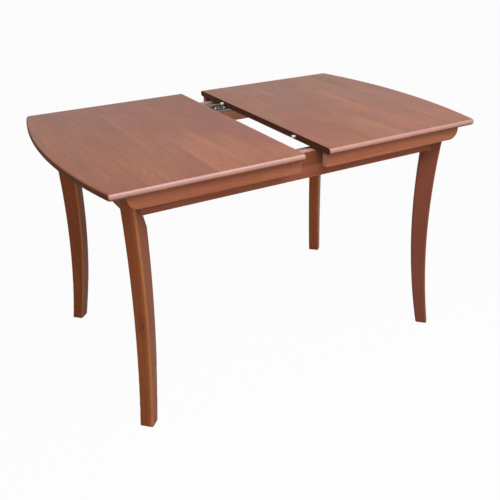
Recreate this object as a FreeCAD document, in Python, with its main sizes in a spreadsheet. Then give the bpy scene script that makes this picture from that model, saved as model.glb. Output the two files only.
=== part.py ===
import FreeCAD, Part

import math
import os
import re

import Sketcher

# Butterfly leaf table.
# Frame: X along the table, Y from front to back, Z up; the origin is on the floor at the middle.
# The two halves of the top are drawn apart by twice open_at_rest. Each moving piece is drawn where it
# lies with the top closed, and its Placement then draws it outward.

SIZES = [
    ("table_height", 750.0, "floor to the upper face of the top"),
    ("top_width", 800.0, "front to back"),
    ("top_thick", 19.0, "thickness of the top and of the leaf"),
    ("half_length", 600.0, "middle of the closed table to the middle of a bowed end"),
    ("end_bow", 50.0, "how far each end bows out past its corners"),
    ("corner_round", 9.0, "outer corners of the top, seen from above"),
    ("edge_round", 8.5, "rounding of the upper and lower edges of the top"),
    ("seam_gap", 0.15, "inner edge of a closed half to the middle"),
    ("open_at_rest", 40.5, "how far each half is drawn out"),
    ("open_spare", 0.5, "each fully open half past the edge of the opened leaf"),
    ("skirt_inset", 17.0, "outer face of a skirt in from the long edge of the top"),
    ("skirt_thick", 18.0, "thickness of a skirt"),
    ("skirt_drop", 39.0, "height of a skirt under the top"),
    ("skirt_end", 100.0, "outer end of a skirt in from the middle of the bowed end"),
    ("skirt_round", 30.0, "rounding of a skirt's lower outer corner"),
    ("skirt_seam", 1.0, "inner end of a skirt behind the edge of its half"),
    ("frame_gap", 4.5, "top of the frame below the underside of the top"),
    ("apron_height", 78.5, "height of an apron"),
    ("apron_thick", 22.0, "thickness of an apron"),
    ("end_apron_inset", 80.0, "outer face of an end apron in from the bowed end, closed"),
    ("long_apron_inset", 72.0, "outer face of a long apron in from the long edge of the top"),
    ("leg_set", 70.0, "from the point on the leg's diagonal to the outer faces of the aprons"),
    ("leg_width", 41.5, "width of a leg across the diagonal"),
    ("leg_round", 6.0, "rounding of the leg's long edges"),
    ("leg_out_foot", 133.0, "outer curve of a leg along the diagonal, at the floor"),
    ("leg_out_mid", 98.6, "outer curve at mid height"),
    ("leg_out_top", 115.0, "outer curve at the top"),
    ("leg_in_foot", 94.5, "inner curve of a leg along the diagonal, at the floor"),
    ("leg_in_mid", 48.0, "inner curve at mid height"),
    ("leg_in_top", 46.0, "inner face of a leg behind the aprons"),
    ("relief_along", 24.0, "chamfer of the leg's inner edges under the aprons, along the diagonal"),
    ("relief_across", 12.0, "the same chamfer across the leg"),
    ("relief_height", 50.0, "run-out of that chamfer down the leg"),
    ("block_in", 16.0, "inner face of a corner block along the diagonal"),
    ("block_low", 16.0, "lower face of a corner block above the apron's lower edge"),
    ("block_high", 4.5, "upper face of a corner block below the apron's upper edge"),
    ("bolt_radius", 4.0, "hanger bolt"),
    ("bolt_into_leg", 28.0, "thread of a hanger bolt in the leg"),
    ("bolt_tail", 3.0, "end of a hanger bolt past its nut"),
    ("bolt_low", 28.0, "lower bolt above the apron's lower edge"),
    ("bolt_high", 60.0, "upper bolt above the apron's lower edge"),
    ("bolt_play", 0.5, "radial clearance of a bolt in its block"),
    ("washer_radius", 9.0, "washer of a hanger bolt"),
    ("washer_thick", 1.6, "thickness of the washer"),
    ("nut_flats", 13.0, "nut across its flats"),
    ("nut_thick", 6.5, "thickness of the nut"),
    ("pad_length", 30.0, "glide pad along its apron"),
    ("pad_width", 12.0, "glide pad across its apron"),
    ("pad_play", 0.3, "glide pad below the underside of the top"),
    ("pad_near", 140.0, "nearer pads on the long aprons from the middle"),
    ("pad_end", 70.0, "farther pads on the long aprons in from the leg's point"),
    ("pad_side", 140.0, "pads on the end aprons from the middle"),
    ("slide_drop", 21.25, "middle of the slides below the underside of the top"),
    ("rail_end", 30.0, "end of a slide rail in from the leg's point"),
    ("rail_plate", 2.0, "thickness of the rail's back"),
    ("rail_flange", 1.5, "thickness of the rail's flanges and lips"),
    ("rail_depth", 11.5, "inner face of the rail's lips from the apron"),
    ("channel_low", 6.5, "near side of a channel from the middle of the slides"),
    ("channel_high", 15.25, "far side of a channel from the middle of the slides"),
    ("slot_low", 10.5, "near side of the slot between the lips"),
    ("slot_high", 13.75, "far side of the slot between the lips"),
    ("run_play", 0.4, "clearance of a runner in its channel"),
    ("web_play", 0.5, "clearance of a runner's web in the slot"),
    ("rack_start", 13.0, "face of a rack from the apron"),
    ("rack_thick", 7.0, "thickness of a rack"),
    ("rack_play", 0.5, "clearance between the racks of both halves"),
    ("rack_far", 15.0, "back of a rack from the middle of the slides"),
    ("gear_module", 1.5, "gear module of pinion and racks"),
    ("pinion_teeth", 12.0, "teeth of the pinion"),
    ("pressure_angle", 25.0, "pressure angle of the teeth, degrees"),
    ("tooth_play", 0.2, "clearance on each side of a tooth"),
    ("pinion_x", 55.0, "pinion from the middle of the table"),
    ("pinion_play", 0.3, "side clearance of the pinion"),
    ("axle_radius", 3.0, "pinion axle"),
    ("axle_play", 0.05, "radial clearance of the pinion on its axle"),
    ("collar_radius", 4.6, "collar behind the pinion"),
    ("post_radius", 3.0, "posts of the pinion guard"),
    ("post_offset", 16.5, "posts from the pinion's axis"),
    ("guard_start", 21.0, "guard plate from the apron"),
    ("guard_thick", 1.5, "thickness of the guard plate"),
    ("guard_half", 22.5, "half length of the guard plate"),
    ("guard_rise", 9.0, "half height of the guard plate"),
    ("guard_round", 8.0, "rounding of the guard plate's corners"),
    ("guard_tap", 6.0, "thread of a guard screw in its post"),
    ("run_spare", 1.5, "outer end of a fully open runner from the end of its rail"),
    ("rack_reach", 24.5, "rack past the pinion's axis when fully open"),
    ("rack_land", 0.5, "plain end of a rack past its last tooth gap"),
    ("bracket_thick", 2.0, "thickness of a bracket"),
    ("bracket_reach", 52.0, "inner edge of a bracket's flange from the apron"),
    ("bracket_width", 40.0, "bracket along the table"),
    ("bracket_end", 26.0, "farther bracket in from the outer end of its runner"),
    ("bracket_step", 62.0, "from one bracket to the other"),
    ("screw_radius", 2.0, "wood screw"),
    ("screw_play", 0.2, "radial clearance of a screw in metal"),
    ("screw_length", 14.0, "thread of a screw in wood"),
    ("head_radius", 4.0, "screw head"),
    ("head_flat", 2.88, "radius of the flat on a screw head"),
    ("head_thick", 2.0, "thickness of a screw head"),
    ("rail_screw_end", 30.0, "outer rail screws in from the end of the rail"),
    ("rail_screw_half", 200.0, "middle rail screws from the middle"),
    ("rail_screw_off", 20.0, "rail screw beside the middle, away from the pinion"),
    ("bracket_screw_in", 38.0, "bracket screws from the apron"),
    ("bracket_screw_off", 11.0, "bracket screws from the bracket's middle"),
    ("pin_radius", 4.0, "alignment pin"),
    ("pin_play", 0.4, "radial clearance of a pin in its socket"),
    ("pin_seat", 20.0, "pin inside the edge that holds it"),
    ("pin_out", 12.0, "pin past that edge"),
    ("pin_tip", 1.5, "rounding of the pin's tip"),
    ("socket_depth", 14.0, "depth of a socket"),
    ("pin_y", 225.0, "pins from the middle of the table's width"),
    ("leaf_width", 400.0, "leaf along the table"),
    ("leaf_end_gap", 38.0, "outer edge of the stored leaf from the end apron"),
    ("fold_gap", 0.6, "gap between the folded wings"),
    ("hinge_length", 50.0, "fold hinge along its pin"),
    ("hinge_reach", 28.0, "hinge plate from its pin"),
    ("hinge_plate", 1.6, "thickness of a hinge plate"),
    ("hinge_radius", 4.0, "hinge knuckle"),
    ("hinge_pin", 1.5, "hinge pin"),
    ("hinge_play", 0.3, "clearance round the knuckles"),
    ("hinge_relief", 0.5, "recess deeper than the knuckles"),
    ("hinge_inset", 60.0, "outer hinges from the leaf's edges"),
    ("hinge_screw_in", 20.0, "hinge screws from the pin"),
    ("hinge_screw_off", 14.0, "hinge screws from the hinge's middle"),
    ("hinge_screw_radius", 1.5, "hinge screw"),
    ("hinge_screw_length", 9.0, "thread of a hinge screw"),
    ("ledger_rise", 2.0, "ledger above the apron's lower edge"),
    ("ledger_height", 12.0, "height of a ledger"),
    ("ledger_width", 16.0, "width of a ledger"),
    ("ledger_screw_end", 40.0, "outer ledger screw in from the end of the rail"),
    ("ledger_screw_mid", 190.0, "middle ledger screw from the middle"),
    ("ledger_screw_in", 45.0, "inner ledger screw from the inner end of the ledger"),
    ("stop_play", 0.5, "inner bearer from its stop with the leaf in the middle"),
    ("stop_width", 9.5, "stop at the inner end of a ledger"),
    ("stop_height", 9.0, "height of a stop"),
    ("bearer_play", 0.3, "bearer above the ledger"),
    ("bearer_end", 3.0, "end of a bearer from the apron"),
    ("bearer_thick", 11.7, "thickness of a bearer"),
    ("bearer_width", 40.0, "width of a bearer"),
    ("bearer_chamfer", 2.0, "chamfer of the bearer's long edges"),
    ("bearer_outer_at", 45.0, "outer bearer from the leaf's outer edge"),
    ("bearer_inner_at", 185.0, "inner bearer from the leaf's outer edge"),
    ("felt_thick", 2.0, "felt strip under the folded leaf"),
    ("felt_width", 24.0, "width of a felt strip"),
    ("felt_end", 10.0, "end of a felt strip from the edge of the wing"),
]

# Formulas of the values above that several pieces share, each written with the ones before it.
SHARED = {
    "underside": "(table_height - top_thick)",
    "frame_top": "(underside - frame_gap)",
    "apron_low": "(frame_top - apron_height)",
    "skirt_face": "(top_width / 2 - skirt_inset)",
    "apron_face_x": "(half_length - end_apron_inset)",
    "apron_face_y": "(top_width / 2 - long_apron_inset)",
    "apron_in_x": "(apron_face_x - apron_thick)",
    "apron_in_y": "(apron_face_y - apron_thick)",
    "leg_x": "(apron_face_x - leg_set)",
    "leg_y": "(apron_face_y - leg_set)",
    "leg_side": "(leg_width / sqrt(2))",
    "slide_z": "(underside - slide_drop)",
    "rail_half": "(leg_x - rail_end)",
    "open_travel": "(leaf_width / 2 + open_spare)",
    "run_out": "(rail_half - open_travel - run_spare)",
    "left_run_past": "(open_travel + pinion_x + rack_reach)",
    "right_run_past": "(open_travel - pinion_x + rack_reach)",
    "bracket_far": "(run_out - bracket_end)",
    "bracket_near": "(bracket_far - bracket_step)",
    "pin_z": "(underside + top_thick / 2)",
    "leaf_store": "(apron_in_x - leaf_end_gap)",
    "wing_half": "(top_width / 4)",
    "ledger_low": "(apron_low + ledger_rise)",
    "ledger_past": "(bearer_inner_at + bearer_width - leaf_width / 2 + stop_play + stop_width)",
    "bearer_low": "(ledger_low + ledger_height + bearer_play)",
    "leaf_low": "(bearer_low + bearer_thick + felt_thick)",
}

LEFT, RIGHT = -1, 1
FRONT, BACK = -1, 1
SIDE_NAMES = {LEFT: "left", RIGHT: "right"}
FACE_NAMES = {FRONT: "front", BACK: "back"}

doc = FreeCAD.newDocument("ButterflyLeafTable")
sheet = doc.addObject("Spreadsheet::Sheet", "Sizes")
for row, (alias, value, note) in enumerate(SIZES, start=1):
    sheet.set(f"A{row}", alias)
    sheet.set(f"B{row}", str(value))
    sheet.set(f"C{row}", note)
    sheet.setAlias(f"B{row}", alias)
doc.recompute()

ALIASES = re.compile(r"\b(" + "|".join(sorted((s[0] for s in SIZES), key=len, reverse=True)) + r")\b")
SHARED_NAMES = re.compile(r"\b(" + "|".join(sorted(SHARED, key=len, reverse=True)) + r")\b")
pieces = []


def named(formula):
    """Formula of size names, written for the expression engine."""
    spread = str(formula)
    while SHARED_NAMES.search(spread):
        spread = SHARED_NAMES.sub(lambda match: SHARED[match.group(0)], spread)
    return ALIASES.sub(lambda match: "Sizes." + match.group(0), spread)


def number(formula):
    """Value of a formula of size names."""
    return float(sheet.evalExpression(named(formula)))


def bind(target, prop, formula):
    """Bind a property to a formula of size names."""
    target.setExpression(prop, named(formula))


# Sketches and solids ---------------------------------------------------------------------------------


def new_body(label):
    """Start a sub-part of its own."""
    body = doc.addObject("PartDesign::Body", label)
    body.Label = label
    pieces.append(body)
    return body


def new_sketch(body, role, start):
    """Sketch on an origin plane of the body, moved to `start` along the global axis across it."""
    sketch = body.newObject("Sketcher::SketchObject", f"{body.Label}_sketch")
    plane = next(item for item in body.Origin.OriginFeatures if item.Role == role)
    sketch.AttachmentSupport = [(plane, "")]
    sketch.MapMode = "FlatFace"
    sign = "-1" if role == "XZ_Plane" else "1"
    bind(sketch, "AttachmentOffset.Base.z", f"{sign} * ({start})")
    return sketch


def fix_point(sketch, geometry, vertex, x_formula, y_formula):
    """Hold a vertex of the sketch at formulas of its two coordinates."""
    for kind, formula, axis in (("DistanceX", x_formula, -2), ("DistanceY", y_formula, -1)):
        value = number(formula)
        if abs(value) < 1e-9:
            sketch.addConstraint(Sketcher.Constraint("PointOnObject", geometry, vertex, axis))
        else:
            index = sketch.addConstraint(Sketcher.Constraint(kind, -1, 1, geometry, vertex, value))
            bind(sketch, f"Constraints[{index}]", formula)


def add_arc(sketch, start, middle, end):
    """Arc through three points, and which of its two ends lies at the start and at the end."""
    bulge = (middle - start).cross(end - middle).z
    centre = Part.ArcOfCircle(start, middle, end).Center
    spoke = start - centre if bulge > 0 else end - centre
    other = end - centre if bulge > 0 else start - centre
    low = math.atan2(spoke.y, spoke.x)
    high = math.atan2(other.y, other.x)
    if high < low:
        high += 2 * math.pi
    circle = Part.Circle(centre, FreeCAD.Vector(0, 0, 1), spoke.Length)
    edge = sketch.addGeometry(Part.ArcOfCircle(circle, low, high))
    return edge, (1, 2) if bulge > 0 else (2, 1)


def draw_outline(sketch, points):
    """Closed outline through points (x, y); a point (x, y, "mid") is the middle of an arc."""
    corners = [point for point in points if len(point) == 2]
    first = {}
    position = 0
    edges = []
    for index, corner in enumerate(corners):
        position = points.index(corner)
        after = points[(position + 1) % len(points)]
        other = corners[(index + 1) % len(corners)]
        start = FreeCAD.Vector(number(corner[0]), number(corner[1]), 0)
        end = FreeCAD.Vector(number(other[0]), number(other[1]), 0)
        if len(after) == 3:
            middle = FreeCAD.Vector(number(after[0]), number(after[1]), 0)
            edge, ends = add_arc(sketch, start, middle, end)
            marker = sketch.addGeometry(Part.Point(middle), True)
            fix_point(sketch, marker, 1, after[0], after[1])
            sketch.addConstraint(Sketcher.Constraint("PointOnObject", marker, 1, edge))
        else:
            edge = sketch.addGeometry(Part.LineSegment(start, end))
            ends = (1, 2)
        edges.append((edge, ends))
        first[index] = (edge, ends[0])
    for index, (edge, ends) in enumerate(edges):
        following = first[(index + 1) % len(edges)]
        sketch.addConstraint(Sketcher.Constraint("Coincident", edge, ends[1], *following))
        fix_point(sketch, edge, ends[0], *corners[index])


def draw_circles(sketch, centres, radius):
    """Circles of one radius at the given centres."""
    for x_formula, y_formula in centres:
        centre = FreeCAD.Vector(number(x_formula), number(y_formula), 0)
        circle = sketch.addGeometry(Part.Circle(centre, FreeCAD.Vector(0, 0, 1), number(radius)))
        fix_point(sketch, circle, 3, x_formula, y_formula)
        index = sketch.addConstraint(Sketcher.Constraint("Radius", circle, number(radius)))
        bind(sketch, f"Constraints[{index}]", radius)


def prism(label, role, points, start, length):
    """Body padded from an outline, from `start` to `start + length` along the axis across it."""
    body = new_body(label)
    plane_at = f"({start}) + ({length})" if role == "XZ_Plane" else start
    sketch = new_sketch(body, role, plane_at)
    draw_outline(sketch, points)
    pad = body.newObject("PartDesign::Pad", f"{label}_pad")
    pad.Profile = sketch
    bind(pad, "Length", length)
    body.Tip = pad
    doc.recompute()
    return body


def cut(body, role, start, depth, centres=(), radius="1", points=()):
    """Pocket of circles or of one outline from the plane at `start`; a negative depth cuts backwards."""
    before = body.Tip.Shape.Volume
    sketch = new_sketch(body, role, start)
    if points:
        draw_outline(sketch, points)
    else:
        draw_circles(sketch, centres, radius)
    pocket = body.newObject("PartDesign::Pocket", f"{body.Label}_pocket")
    pocket.Profile = sketch
    forward = number(depth) > 0
    bind(pocket, "Length", f"abs({depth})")
    pocket.Reversed = forward if role != "XZ_Plane" else not forward
    body.Tip = pocket
    doc.recompute()
    if before - pocket.Shape.Volume < 1.0:
        raise RuntimeError(f"{body.Label}: a pocket cuts nothing")


def soften(body, radius, chosen, kind="Fillet"):
    """Round or chamfer the edges of the body that `chosen` accepts."""
    base = body.Tip
    edges = [f"Edge{index}" for index, edge in enumerate(base.Shape.Edges, start=1) if chosen(edge)]
    if not edges:
        raise RuntimeError(f"{body.Label}: no edge to round")
    feature = body.newObject(f"PartDesign::{kind}", f"{body.Label}_{kind.lower()}")
    feature.Base = (base, edges)
    bind(feature, "Radius" if kind == "Fillet" else "Size", radius)
    body.Tip = feature
    doc.recompute()


def spans(edge, axis):
    """True for a straight edge along the axis."""
    if len(edge.Vertexes) != 2:
        return False
    run = edge.Vertexes[1].Point - edge.Vertexes[0].Point
    if abs(run.Length - edge.Length) > 1e-6:
        return False
    along = {"x": run.x, "y": run.y, "z": run.z}[axis]
    return abs(abs(along) - run.Length) < 1e-6


def middle_of(edge):
    """Centre of mass of an edge."""
    return edge.CenterOfMass


def add_group(label, shapes):
    """Sub-part of one or more separate solids that are made here."""
    feature = doc.addObject("Part::Feature", label)
    feature.Label = label
    feature.Shape = Part.makeCompound(shapes) if len(shapes) > 1 else shapes[0]
    pieces.append(feature)
    return feature


def draw_out(piece, side):
    """Draw a piece of a half outward from where it lies closed."""
    bind(piece, "Placement.Base.x", f"{side} * open_at_rest")


def rod(base, direction, radius, length):
    """Round bar."""
    return Part.makeCylinder(radius, length, FreeCAD.Vector(*base), FreeCAD.Vector(*direction))


def ring(base, direction, outer, inner, length):
    """Round bar with a round hole through it."""
    return rod(base, direction, outer, length).cut(rod(base, direction, inner, length))


def slab(low, high):
    """Rectangular block between two opposite corners."""
    size = [b - a for a, b in zip(low, high)]
    return Part.makeBox(*size, FreeCAD.Vector(*low))


def wood_screw(under_head, direction, shank, clear):
    """Screw with a domed head; `under_head` is on its axis below the head, `direction` points inward."""
    axis = FreeCAD.Vector(*direction)
    seat = FreeCAD.Vector(*under_head)
    top = seat - axis * number("head_thick")
    body = Part.makeCylinder(number("screw_radius"), shank + clear, seat, axis)
    head = Part.makeCone(number("head_flat"), number("head_radius"), number("head_thick"), top, axis)
    return body.fuse(head).removeSplitter()


# Tops and skirts -------------------------------------------------------------------------------------

SOCKETS = [("-pin_y", "pin_z"), ("pin_y", "pin_z")]


def bracket_screw_spots(side):
    """Places (x, y) of the screws that hold one half to its brackets."""
    spots = []
    for at in ("bracket_near", "bracket_far"):
        for shift in (-1, 1):
            for face in (FRONT, BACK):
                x_formula = f"{side} * {at} + {shift} * bracket_screw_off"
                spots.append((x_formula, f"{face} * (apron_in_y - bracket_screw_in)"))
    return spots


def build_top(side):
    """Half of the table top with a bowed outer end, rounded edges and its pin holes."""
    body = prism(f"top_{SIDE_NAMES[side]}", "XY_Plane", [
        (f"{side} * seam_gap", "-top_width / 2"),
        (f"{side} * (half_length - end_bow)", "-top_width / 2"),
        (f"{side} * half_length", "0", "mid"),
        (f"{side} * (half_length - end_bow)", "top_width / 2"),
        (f"{side} * seam_gap", "top_width / 2"),
    ], "underside", "top_thick")
    half = number("half_length") / 2
    soften(body, "corner_round", lambda edge: spans(edge, "z") and abs(middle_of(edge).x) > half)
    seam = number("seam_gap") + 1e-3
    soften(body, "edge_round", lambda edge: not spans(edge, "z") and not (
        spans(edge, "y") and abs(middle_of(edge).x) < seam))
    if side == LEFT:
        cut(body, "YZ_Plane", "-seam_gap", "-socket_depth", SOCKETS, "pin_radius + pin_play")
    else:
        cut(body, "YZ_Plane", "seam_gap", "pin_seat", SOCKETS, "pin_radius")
    cut(body, "XY_Plane", "underside", "screw_length", bracket_screw_spots(side), "screw_radius")
    draw_out(body, side)


def build_skirt(side, face):
    """Skirt under one long edge of one half, rounded at its lower outer corner."""
    start = "-skirt_face" if face == FRONT else "skirt_face - skirt_thick"
    low = "underside - skirt_drop"
    body = prism(f"skirt_{FACE_NAMES[face]}_{SIDE_NAMES[side]}", "XZ_Plane", [
        (f"{side} * (seam_gap + skirt_seam)", low),
        (f"{side} * (half_length - skirt_end)", low),
        (f"{side} * (half_length - skirt_end)", "underside"),
        (f"{side} * (seam_gap + skirt_seam)", "underside"),
    ], start, "skirt_thick")
    bottom = number(low) + 1.0
    inner = number("half_length - skirt_end") / 2
    soften(body, "skirt_round", lambda edge: spans(edge, "y") and middle_of(edge).z < bottom
           and abs(middle_of(edge).x) > inner)
    draw_out(body, side)


for half_side in (LEFT, RIGHT):
    build_top(half_side)
    for long_face in (FRONT, BACK):
        build_skirt(half_side, long_face)

pin_length = number("pin_seat + pin_out")
pins = []
for pin_y in (-number("pin_y"), number("pin_y")):
    tail = (number("seam_gap + pin_seat"), pin_y, number("pin_z"))
    pin = rod(tail, (-1, 0, 0), number("pin_radius"), pin_length)
    tip = [edge for edge in pin.Edges if abs(middle_of(edge).x - tail[0] + pin_length) < 1e-6]
    pins.append(pin.makeFillet(number("pin_tip"), tip))
draw_out(add_group("alignment_pins", pins), RIGHT)

# Frame -----------------------------------------------------------------------------------------------

RAIL_SCREW_SPOTS = [
    "rail_screw_end - rail_half",
    "-rail_screw_half",
    "-rail_screw_off",
    "rail_screw_half",
    "rail_half - rail_screw_end",
]
LEDGER_SCREW_SPOTS = [
    "ledger_screw_end - rail_half",
    "-ledger_screw_mid",
    "ledger_past - ledger_screw_in",
]


def build_long_apron(face):
    """Front or back apron; its mitred ends lie against the sides of the legs."""
    outer = "leg_x + leg_set - leg_side"
    inner = f"{outer} - apron_thick"
    body = prism(f"apron_{FACE_NAMES[face]}", "XY_Plane", [
        (f"-({outer})", f"{face} * apron_face_y"),
        (outer, f"{face} * apron_face_y"),
        (inner, f"{face} * apron_in_y"),
        (f"-({inner})", f"{face} * apron_in_y"),
    ], "apron_low", "apron_height")
    depth = f"{face} * screw_length"
    cut(body, "XZ_Plane", f"{face} * apron_in_y", depth,
        [(spot, "slide_z") for spot in RAIL_SCREW_SPOTS], "screw_radius")
    cut(body, "XZ_Plane", f"{face} * apron_in_y", depth,
        [(spot, "ledger_low + ledger_height / 2") for spot in LEDGER_SCREW_SPOTS], "screw_radius")


def build_end_apron(side):
    """Left or right apron, mitred like the long ones."""
    outer = "leg_y + leg_set - leg_side"
    inner = f"{outer} - apron_thick"
    prism(f"apron_{SIDE_NAMES[side]}", "XY_Plane", [
        (f"{side} * apron_face_x", f"-({outer})"),
        (f"{side} * apron_face_x", outer),
        (f"{side} * apron_in_x", inner),
        (f"{side} * apron_in_x", f"-({inner})"),
    ], "apron_low", "apron_height")


def place_corner(piece, side, face):
    """Turn a piece drawn along +X onto the diagonal of one corner."""
    angle = math.degrees(math.atan2(face, side))
    piece.Placement = FreeCAD.Placement(
        FreeCAD.Vector(0, 0, 0), FreeCAD.Rotation(FreeCAD.Vector(0, 0, 1), angle))
    bind(piece, "Placement.Base.x", f"{side} * leg_x")
    bind(piece, "Placement.Base.y", f"{face} * leg_y")


BOLT_SPOTS = [("0", "apron_low + bolt_low"), ("0", "apron_low + bolt_high")]


def shave(body, across):
    """Chamfer an inner long edge of a leg just under the aprons, run out to nothing down the leg."""
    before = body.Tip.Shape.Volume
    edge = "leg_width / 2"
    slope = "relief_across / relief_along"
    past = "relief_along"
    sections = []
    for level, reach in (("apron_low", "relief_along"), ("apron_low - relief_height", "0")):
        sketch = new_sketch(body, "XY_Plane", level)
        draw_outline(sketch, [
            (f"leg_in_top + {reach} + 1 / ({slope})", f"{across} * ({edge} + 1)"),
            (f"leg_in_top - {past}", f"{across} * ({edge} + 1)"),
            (f"leg_in_top - {past}", f"{across} * ({edge} - ({reach} + {past}) * {slope})"),
        ])
        sections.append(sketch)
    loft = body.newObject("PartDesign::SubtractiveLoft", f"{body.Label}_relief")
    loft.Profile = sections[0]
    loft.Sections = sections[1:]
    loft.Ruled = True
    body.Tip = loft
    doc.recompute()
    if before - loft.Shape.Volume < 1.0:
        raise RuntimeError(f"{body.Label}: a chamfer cuts nothing")


def build_leg(side, face):
    """Leg curved outward along the diagonal of its corner, flat behind the aprons."""
    body = prism(f"leg_{FACE_NAMES[face]}_{SIDE_NAMES[side]}", "XZ_Plane", [
        ("leg_in_foot", "0"),
        ("leg_out_foot", "0"),
        ("leg_out_mid", "frame_top / 2", "mid"),
        ("leg_out_top", "frame_top"),
        ("leg_in_top", "frame_top"),
        ("leg_in_top", "apron_low"),
        ("leg_in_mid", "apron_low / 2", "mid"),
    ], "-leg_width / 2", "leg_width")
    width = number("leg_width") / 2 - 1e-3
    height = number("frame_top")
    soften(body, "leg_round", lambda edge: abs(middle_of(edge).y) > width
           and edge.BoundBox.ZLength > 1.0 and middle_of(edge).z < height)
    for across in (-1, 1):
        shave(body, across)
    cut(body, "YZ_Plane", "leg_in_top", "bolt_into_leg", BOLT_SPOTS, "bolt_radius")
    place_corner(body, side, face)


def build_block(side, face):
    """Corner block glued to two aprons behind a leg, with its two bolt holes."""
    spread = "sqrt(2) * (leg_set - apron_thick)"
    body = prism(f"corner_block_{FACE_NAMES[face]}_{SIDE_NAMES[side]}", "XY_Plane", [
        ("block_in", f"-({spread} - block_in)"),
        ("leg_in_top", f"-({spread} - leg_in_top)"),
        ("leg_in_top", f"{spread} - leg_in_top"),
        ("block_in", f"{spread} - block_in"),
    ], "apron_low + block_low", "apron_height - block_low - block_high")
    cut(body, "YZ_Plane", "block_in", "leg_in_top - block_in", BOLT_SPOTS, "bolt_radius + bolt_play")
    place_corner(body, side, face)


for long_face in (FRONT, BACK):
    build_long_apron(long_face)
for half_side in (LEFT, RIGHT):
    build_end_apron(half_side)
for half_side in (LEFT, RIGHT):
    for long_face in (FRONT, BACK):
        build_leg(half_side, long_face)
        build_block(half_side, long_face)


def hexagon(base, flats, length):
    """Hexagonal bar along +X."""
    radius = flats / math.sqrt(3)
    corners = []
    for step in range(7):
        angle = math.radians(60 * step)
        across = FreeCAD.Vector(0, radius * math.cos(angle), radius * math.sin(angle))
        corners.append(FreeCAD.Vector(*base) + across)
    return Part.Face(Part.makePolygon(corners)).extrude(FreeCAD.Vector(length, 0, 0))


def at_corners(shapes):
    """Copies of shapes drawn along +X, turned onto the diagonals of all four corners."""
    copies = []
    for side in (LEFT, RIGHT):
        for face in (FRONT, BACK):
            place = FreeCAD.Placement(
                FreeCAD.Vector(side * number("leg_x"), face * number("leg_y"), 0),
                FreeCAD.Rotation(FreeCAD.Vector(0, 0, 1), math.degrees(math.atan2(face, side))))
            for shape in shapes:
                copy = shape.copy()
                copy.Placement = place
                copies.append(copy)
    return copies


def build_bolts():
    """Hanger bolts, washers and nuts at the four corners."""
    bolt = number("bolt_radius")
    washer_at = number("block_in - washer_thick")
    nut_at = number("block_in - washer_thick - nut_thick")
    start = nut_at - number("bolt_tail")
    length = number("leg_in_top + bolt_into_leg") - start
    bolts, washers, nuts = [], [], []
    for _, height in BOLT_SPOTS:
        level = number(height)
        bolts.append(rod((start, 0, level), (1, 0, 0), bolt, length))
        outer = number("washer_radius")
        washers.append(ring((washer_at, 0, level), (1, 0, 0), outer, bolt, number("washer_thick")))
        nut = hexagon((nut_at, 0, level), number("nut_flats"), number("nut_thick"))
        nuts.append(nut.cut(rod((nut_at, 0, level), (1, 0, 0), bolt, number("nut_thick"))))
    add_group("hanger_bolts", at_corners(bolts))
    add_group("bolt_washers", at_corners(washers))
    add_group("bolt_nuts", at_corners(nuts))


def build_glide_pads():
    """Pads on the upper edges of the aprons, under the sliding tops."""
    low = number("frame_top")
    high = number("underside - pad_play")
    long_half = number("pad_length") / 2
    wide_half = number("pad_width") / 2
    middle_y = number("apron_face_y - apron_thick / 2")
    middle_x = number("apron_face_x - apron_thick / 2")
    far = number("leg_x - pad_end")
    near = number("pad_near")
    aside = number("pad_side")
    pads = []
    for face in (FRONT, BACK):
        y_at = face * middle_y
        for x_at in (-far, -near, near, far):
            pads.append(slab((x_at - long_half, y_at - wide_half, low),
                             (x_at + long_half, y_at + wide_half, high)))
    for side in (LEFT, RIGHT):
        x_at = side * middle_x
        for y_at in (-aside, aside):
            pads.append(slab((x_at - wide_half, y_at - long_half, low),
                             (x_at + wide_half, y_at + long_half, high)))
    add_group("glide_pads", pads)


build_bolts()
build_glide_pads()

# Slides ----------------------------------------------------------------------------------------------


def inward(face, depth):
    """Y formula at a depth in from the inner face of a long apron."""
    return f"{face} * (apron_in_y - ({depth}))"


def build_rail(face):
    """Steel rail with an upper and a lower lipped channel, screwed to a long apron."""
    outline = []
    for sign in (1, -1):
        walls = [
            ("0", "channel_high + rail_flange"),
            ("rail_depth", "channel_high + rail_flange"),
            ("rail_depth", "slot_high"),
            ("rail_depth - rail_flange", "slot_high"),
            ("rail_depth - rail_flange", "channel_high"),
            ("rail_plate", "channel_high"),
            ("rail_plate", "channel_low"),
            ("rail_depth - rail_flange", "channel_low"),
            ("rail_depth - rail_flange", "slot_low"),
            ("rail_depth", "slot_low"),
            ("rail_depth", "channel_low - rail_flange"),
            ("rail_plate", "channel_low - rail_flange"),
        ]
        side_points = [(inward(face, depth), f"slide_z + {sign} * ({rise})") for depth, rise in walls]
        outline += side_points if sign == 1 else side_points[::-1]
    body = prism(f"rail_{FACE_NAMES[face]}", "YZ_Plane", outline, "-rail_half", "2 * rail_half")
    cut(body, "XZ_Plane", inward(face, "rail_plate"), f"{face} * rail_plate",
        [(spot, "slide_z") for spot in RAIL_SCREW_SPOTS], "screw_radius + screw_play")


def slide_side(side):
    """The left half runs in the upper channels (+1) and the right half in the lower ones (-1)."""
    return 1 if side == LEFT else -1


def run_span(side):
    """Low end and length of the runners of one half, closed."""
    if side == LEFT:
        return "-run_out", "run_out + left_run_past"
    return "-right_run_past", "run_out + right_run_past"


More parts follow.
